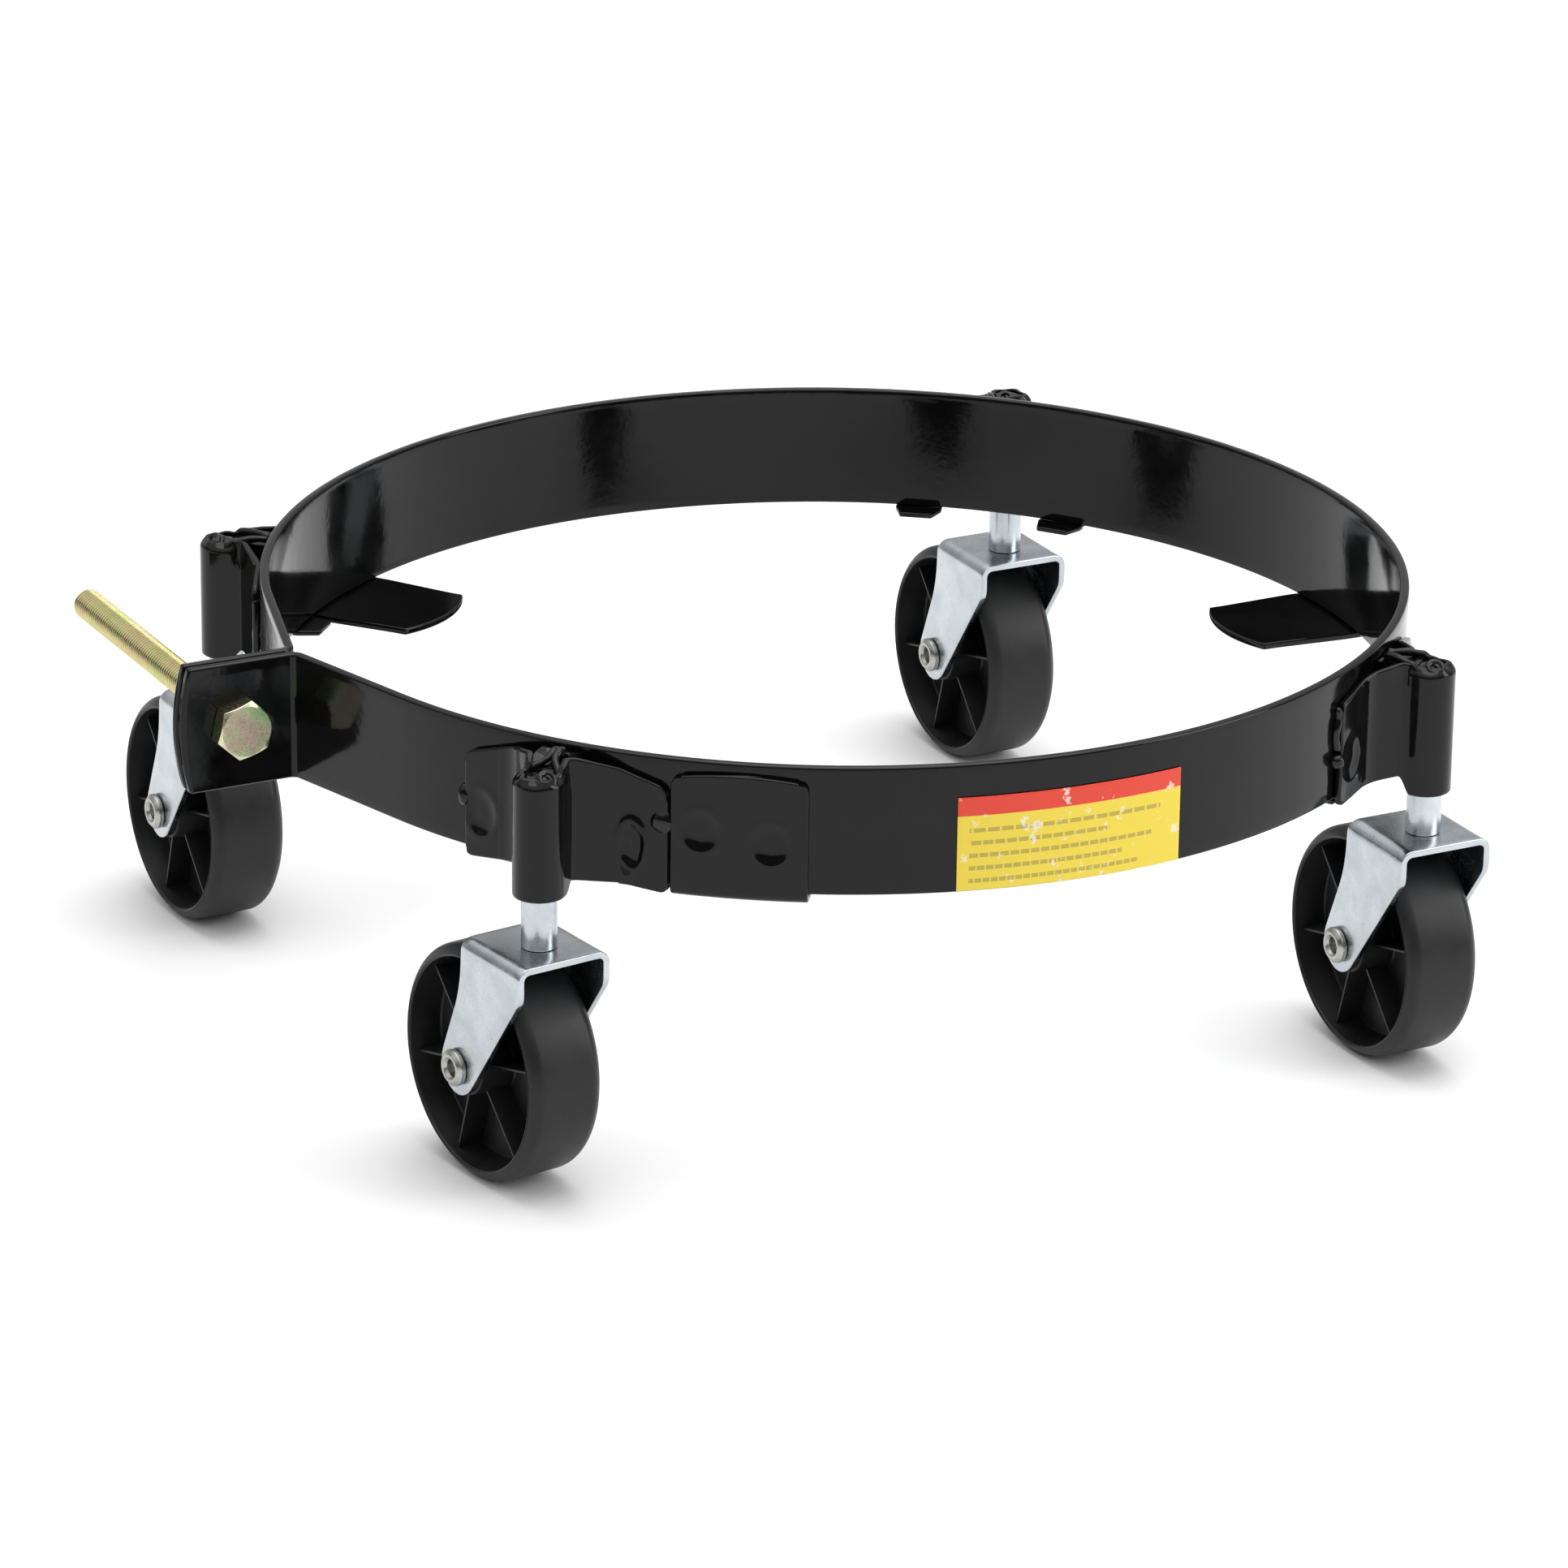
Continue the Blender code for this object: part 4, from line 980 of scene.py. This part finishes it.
def build_bracket(name):
    """A bracket with its folds, cowl and lips, and the blobs and runs of weld that hold it."""
    shoulder_top, socket_top, socket_bottom = BRACKET_LEVELS[name]
    here = station(ring_angle(STEM_PLACES[name]))
    seed = sum(ord(letter) for letter in name)
    node = f"{name}_socket_bracket"

    def part(word, mesh, crease):
        piece(f"{name}_{word}", mesh, BLACK, "black_paint", "frame", [node], here, crease)

    def weld(word, mesh, place, turn=0.0):
        matrix = here @ Matrix.Translation(place) @ Matrix.Rotation(turn, 4, "Z")
        piece(f"{name}_weld_{word}", mesh, WELD, "black_paint", "frame", [node], matrix, 60.0)

    part("bracket", bracket_mesh(seed, shoulder_top, socket_top, socket_bottom), 50.0)
    for side, word in ((1, "a"), (-1, "b")):
        part(f"fold_{word}", fold_mesh(side), 50.0)
    weld("cap", lump(CAP_SIZE, seed, 0.22), Vector((STEM_CIRCLE_RADIUS, 0.0, socket_top - CAP_SIZE[2])))
    part("cowl", cowl_mesh(shoulder_top, socket_top, seed), 60.0)
    for side, word in ((1, "a"), (-1, "b")):
        part(f"lip_{word}", lip_mesh(side, shoulder_top, socket_top, LIP_SPLITS[name], seed), 60.0)
    lean = Matrix.Rotation(math.radians(SWIRL_HEADINGS[name]), 4, "Z")
    lean = lean @ Matrix.Translation((SWIRL_OFFSET, 0.0, 0.0)) @ Matrix.Rotation(SWIRL_LEAN, 4, "Y")
    for word, mesh in (("knob", lump(KNOB_SIZE, seed + 5, 0.12)), ("swirl", swirl_mesh(seed))):
        mesh.transform(lean)
        weld(word, mesh, Vector((STEM_CIRCLE_RADIUS, 0.0, socket_top - KNOB_DROP)))
    radius = BAND_OUTER_RADIUS + 0.6 * MM
    for index, (away, height, width, size) in enumerate(END_WELDS[name]):
        turn = math.asin(away / radius)
        place = Matrix.Rotation(turn, 3, "Z") @ Vector((radius + 0.4 * MM, 0.0, height))
        weld(f"end_{index}", lump((END_WELD_DEPTH, width, size), seed + index, 0.10), place, turn)
    if name in BEADED:
        turn = BEADED[name] * math.asin((FLANGE_END + 0.4 * MM) / radius)
        line = [(0.0, 0.7 * MM * math.sin(0.5 * k), RUN_HALF_LENGTH - k * MM) for k in range(16)]
        place = Matrix.Rotation(turn, 3, "Z") @ Vector((radius, 0.0, RUN_HEIGHT))
        weld("run", bead(line, *RUN_BEAD, seed), place, turn)


# ---- the casters ----
def caster_frames(name):
    """The frame on the floor under a stem with x trailing, and the frame in the wheel's middle."""
    stem, wheel = STEM_PLACES[name], WHEEL_PLACES[name]
    floor = Matrix.Translation((stem.x, stem.y, 0.0)) @ Matrix.Rotation(heading(stem, wheel), 4, "Z")
    return floor, floor @ AXLE_FRAME


def stem_mesh():
    under = FORK_TOP - FORK_THICKNESS - GAP
    shank, neck = FORK_TOP + 0.4 * MM, FORK_TOP + 0.12 * MM
    profile = [(0.0, STEM_TOP), (STEM_RADIUS - 1.2 * MM, STEM_TOP), (STEM_RADIUS, STEM_TOP - 1.8 * MM),
               (STEM_RADIUS, GROOVE_TOP), (GROOVE_RADIUS, GROOVE_TOP), (GROOVE_RADIUS, GROOVE_BOTTOM),
               (STEM_RADIUS, GROOVE_BOTTOM), (STEM_RADIUS, shank), (STEM_RADIUS - 0.2 * MM, neck),
               (TENON_RADIUS, neck), (TENON_RADIUS, under), (TENON_HEAD_RADII[0], under),
               (TENON_HEAD_RADII[1], under - TENON_HEAD_THICKNESS), (0.0, under - TENON_HEAD_THICKNESS)]
    return turned(rounded(profile, 0.25 * MM, 2), 72)


def leg_edges():
    """The fork leg's leading and trailing edges, as (trail, height) paths from its top to its foot."""
    axle = Vector((TRAIL, WHEEL_RADIUS))
    front_top = Vector((FORK_FRONT, FORK_TOP + 5 * MM))
    shoulder = Vector((FORK_FRONT, FORK_SHOULDER))
    rear_top = Vector((FORK_REAR, FORK_TOP + 5 * MM))
    front_touch = touch_point(shoulder, axle, FORK_END_RADIUS, 1)
    rear_touch = touch_point(FORK_WAIST, axle, FORK_END_RADIUS, -1)
    start = heading(axle, front_touch)
    end = heading(axle, rear_touch)
    if start > 0:
        start -= 2 * math.pi
    bottom = -math.pi / 2
    front = [front_top] + fillet(front_top, shoulder, front_touch, FORK_SHOULDER_ROUND, 12)
    front += arc(axle, FORK_END_RADIUS, start, bottom, 24)
    rear = [rear_top] + list(reversed(fillet(rear_touch, FORK_WAIST, rear_top, FORK_WAIST_ROUND, 16)))
    rear += arc(axle, FORK_END_RADIUS, end, bottom, 24)
    return front, rear


def edge_place(edge, height):
    """Where an edge of the fork's leg is at a height, read from a path that runs downwards."""
    upwards = list(reversed(edge))
    return float(np.interp(height, [p.y for p in upwards], [p.x for p in upwards]))


def fork_mesh():
    half = FORK_THICKNESS / 2
    side = FORK_OUTER_WIDTH / 2 - half
    top = FORK_TOP - half
    foot = WHEEL_RADIUS - FORK_END_RADIUS
    feet = [Vector((side, foot)), Vector((side, top)), Vector((-side, top)), Vector((-side, foot))]
    front, rear = leg_edges()
    corner, other = (fillet(*feet[i:i + 3], FORK_BEND_RADIUS, 10) for i in (0, 1))
    end_angles = [math.radians(5.0 * k) for k in range(0, 19)]
    low = [Vector((side, foot + FORK_END_RADIUS * (1 - math.cos(a)))) for a in end_angles]
    leg = low + resample([low[-1], corner[0]], 1.0 * MM)[1:-1]
    path = leg + corner + resample([corner[-1], other[0]], 1.5 * MM)[1:-1] + other
    path += [Vector((-p.x, p.y)) for p in reversed(leg)]

    def limits(point):
        height = max(point.y, foot + 0.02 * MM)
        return edge_place(front, height), edge_place(rear, height) + 0.02 * MM

    mesh = sheet(path, limits, FORK_THICKNESS, 0.35 * MM, 10, lambda p, trail: (trail, p.x, p.y))
    axle_hole = plug(AXLE_RADIUS + GAP, -30 * MM, 30 * MM)
    axle_hole.transform(AXLE_FRAME)
    stem_hole = plug(TENON_HOLE_RADIUS, FORK_TOP - 8 * MM, FORK_TOP + 4 * MM)
    return combine(mesh, [axle_hole, stem_hole], "DIFFERENCE")


def axle_mesh():
    """A hollow rivet: rolled rims outside the legs, and a swirl left at the bottom of each hollow."""
    face = FORK_OUTER_WIDTH / 2 + 0.1 * MM
    end = face + AXLE_HEAD_THICKNESS - 0.1 * MM
    floor = end - AXLE_HOLE_DEPTH
    half = [(0.0, floor + 0.9 * MM), (0.9 * MM, floor + 0.5 * MM), (1.6 * MM, floor),
            (AXLE_HOLE_RADIUS - 0.3 * MM, floor), (AXLE_HOLE_RADIUS, end - 1.0 * MM),
            (AXLE_HOLE_RADIUS + 0.8 * MM, end), (AXLE_HEAD_RADIUS - 1.3 * MM, end),
            (AXLE_HEAD_RADIUS, end - 1.1 * MM), (AXLE_HEAD_RADIUS, face + 0.5 * MM),
            (AXLE_HEAD_RADIUS - 0.5 * MM, face), (AXLE_RADIUS, face)]
    outline = rounded(half, 0.5 * MM, 4)
    return turned(outline + [(radius, -height) for radius, height in reversed(outline)], 64)


def wheel_mesh():
    """The moulded wheel: crowned tread, rim, web, hub and ribs."""
    half = WHEEL_WIDTH / 2
    rim_inner = WHEEL_RADIUS - RIM_THICKNESS
    shoulder = half - WHEEL_CORNER
    tread = [(WHEEL_RADIUS, 0.0), (WHEEL_RADIUS, 4 * MM), (WHEEL_RADIUS - 0.05 * MM, shoulder)]
    tread += [tuple(p) for p in arc((WHEEL_RADIUS - WHEEL_CORNER - 0.05 * MM, shoulder), WHEEL_CORNER, 0.0,
                                    math.radians(72.0), 10)][1:]
    side = rounded([tread[-1], (rim_inner + 1.0 * MM, half), (rim_inner, half - 0.5 * MM),
                    (rim_inner - 1.4 * MM, HALF_WEB), (HUB_RADIUS + 0.8 * MM, HALF_WEB),
                    (HUB_RADIUS, HUB_LENGTH / 2), (HUB_BORE_RADIUS, HUB_LENGTH / 2)], 0.8 * MM, 4)
    outline = tread + side[1:]
    other = [(radius, -height) for radius, height in reversed(outline[1:])]
    ribs = [rib_mesh(RIB_START + 360.0 * index / RIB_COUNT) for index in range(RIB_COUNT)]
    return combine(turned(outline + other, 128, closed=True), ribs, "UNION")


def rib_mesh(angle):
    """A rib from the hub to the rim, thinner towards its free edges."""
    inner, outer = HUB_RADIUS - 1.2 * MM, WHEEL_RADIUS - RIM_THICKNESS + 1.2 * MM
    reach = WHEEL_WIDTH / 2 - RIB_INSET
    rings = []
    for height in np.linspace(-reach, reach, 9):
        thick = lerp(*RIB_HALF_THICKNESSES, abs(height) / reach)
        if abs(height) > reach * 0.99:
            thick -= 0.27 * MM
        rings.append([(inner, -thick, height), (outer, -thick, height),
                      (outer, thick, height), (inner, thick, height)])
    rib = loft(rings, "rib")
    rib.transform(Matrix.Rotation(math.radians(angle), 4, "Z"))
    return rib


def build_casters():
    fork, stem, axle, wheel = fork_mesh(), stem_mesh(), axle_mesh(), wheel_mesh()
    for name in CASTERS:
        floor, middle = caster_frames(name)
        swivel, rolling = f"{name}_swivel", f"{name}_wheel"
        for word, mesh, material, slot, body, node, place, crease in (
                ("fork_sheet", fork, BRIGHT_ZINC, "bright_zinc", swivel, f"{name}_fork", floor, 40.0),
                ("stem_bar", stem, BRIGHT_ZINC, "bright_zinc", swivel, f"{name}_stem", floor, 40.0),
                ("rivet", axle, DULL_ZINC, "dull_zinc", swivel, f"{name}_axle", middle, 45.0),
                ("wheel_body", wheel, PLASTIC, "wheel_plastic", rolling, rolling, middle, 30.0)):
            piece(f"{name}_{word}", mesh.copy(), material, slot, body, [node], place, crease)
        for node, material in ((f"{name}_grip_ring", SPRING_STEEL), (f"{name}_axle_sleeve", DULL_ZINC)):
            frame["nodes"][node].data.materials.clear()
            frame["nodes"][node].data.materials.append(material)


# ---- the label ----
def build_label():
    start, end = LABEL_ANGLES
    radius = BAND_OUTER_RADIUS + GAP + LABEL_THICKNESS / 2
    low = BAND_BOTTOM + LABEL_LIFT
    path = arc((0.0, 0.0), radius, start, end, 60)
    mesh = sheet(path, lambda point: (low, low + LABEL_HEIGHT), LABEL_THICKNESS, 0.1 * MM, 24,
                 lambda p, height: (p.x, p.y, height))
    layer = mesh.uv_layers.new(name="across")
    for loop in mesh.loops:
        spot = mesh.vertices[loop.vertex_index].co
        angle = math.atan2(spot.y, spot.x) % (2 * math.pi)
        layer.data[loop.index].uv = ((angle - start) / (end - start), (spot.z - low) / LABEL_HEIGHT)
    piece("label", mesh, LABEL, "label_yellow", "frame", ["band_label"], Matrix.Translation(RING_AXIS), 50.0)


# ---- floor, light and camera ----
def build_stage():
    bm = bmesh.new()
    bmesh.ops.create_grid(bm, x_segments=1, y_segments=1, size=FLOOR_HALF_SIZE)
    mesh = bpy.data.meshes.new("floor")
    bm.to_mesh(mesh)
    bm.free()
    floor = add_object("floor", mesh)
    floor.location.z = -FLOOR_DROP
    n = Finish("floor")
    n.set(Base_Color=(0.90, 0.90, 0.90), Roughness=0.9, Specular_IOR_Level=0.1)
    mesh.materials.append(n.material)
    build_world()
    for name, place, size, power in STUDIO_LIGHTS:
        light = bpy.data.lights.new(name, "AREA")
        light.shape = "RECTANGLE"
        light.size, light.size_y = size
        light.energy = power
        lamp = add_object(name, light)
        lamp.location = place
        lamp.rotation_euler = (LIGHTS_AIM - Vector(place)).to_track_quat("-Z", "Y").to_euler()


def build_world():
    """A white room: bright overhead and behind, dim towards the front, where the studio is open."""
    world = bpy.data.worlds.new("studio")
    bpy.context.scene.world = world
    bpy.context.scene.view_settings.view_transform = "Standard"
    n = Nodes(world)
    place = n.separate(n.add("ShaderNodeTexCoord").outputs["Generated"])
    overhead = n.span(place["Z"], 0.0, 1.0, 0.20, 0.80, interpolation_type="SMOOTHSTEP")
    behind = n.span(place["Y"], 0.0, 0.40, -0.15, 0.65, interpolation_type="SMOOTHSTEP")
    background = n.tree.nodes["Background"].inputs
    n.feed(background["Strength"], n.math("ADD", n.math("MAXIMUM", overhead, behind), 0.10))
    n.feed(background["Color"], (1.0, 1.0, 1.0))


def build_camera():
    """A long lens from in front, looking down a little, as far off as the perspective asks."""
    back, up = CAMERA_DISTANCE * math.cos(CAMERA_SLOPE), CAMERA_DISTANCE * math.sin(CAMERA_SLOPE)
    place = RING_AXIS + Vector((0.0, 0.0, (BAND_TOP + BAND_BOTTOM) / 2)) + Vector((0.0, -back, up))
    forward, right = Vector((0.0, math.cos(CAMERA_SLOPE), -math.sin(CAMERA_SLOPE))), OUTWARDS
    yaw = Matrix.Rotation(CAMERA_YAW, 3, right.cross(forward))
    forward, right = yaw @ forward, yaw @ right
    forward = Matrix.Rotation(CAMERA_TILT, 3, right) @ forward
    roll = Matrix.Rotation(CAMERA_ROLL, 3, forward)
    right, up = roll @ right, roll @ right.cross(forward)
    data = bpy.data.cameras.new("camera")
    data.sensor_width = CAMERA_SENSOR
    data.lens = CAMERA_LENS
    camera = add_object("camera", data)
    turn = Matrix((right, up, -forward)).transposed().to_4x4()
    camera.matrix_world = Matrix.Translation(place) @ turn
    bpy.context.scene.camera = camera


build_stage()
build_camera()
build_band()
build_bolt()
for leaf_name in SEATS:
    build_leaf(leaf_name)
for caster_name in CASTERS:
    build_bracket(caster_name)
build_casters()
build_label()
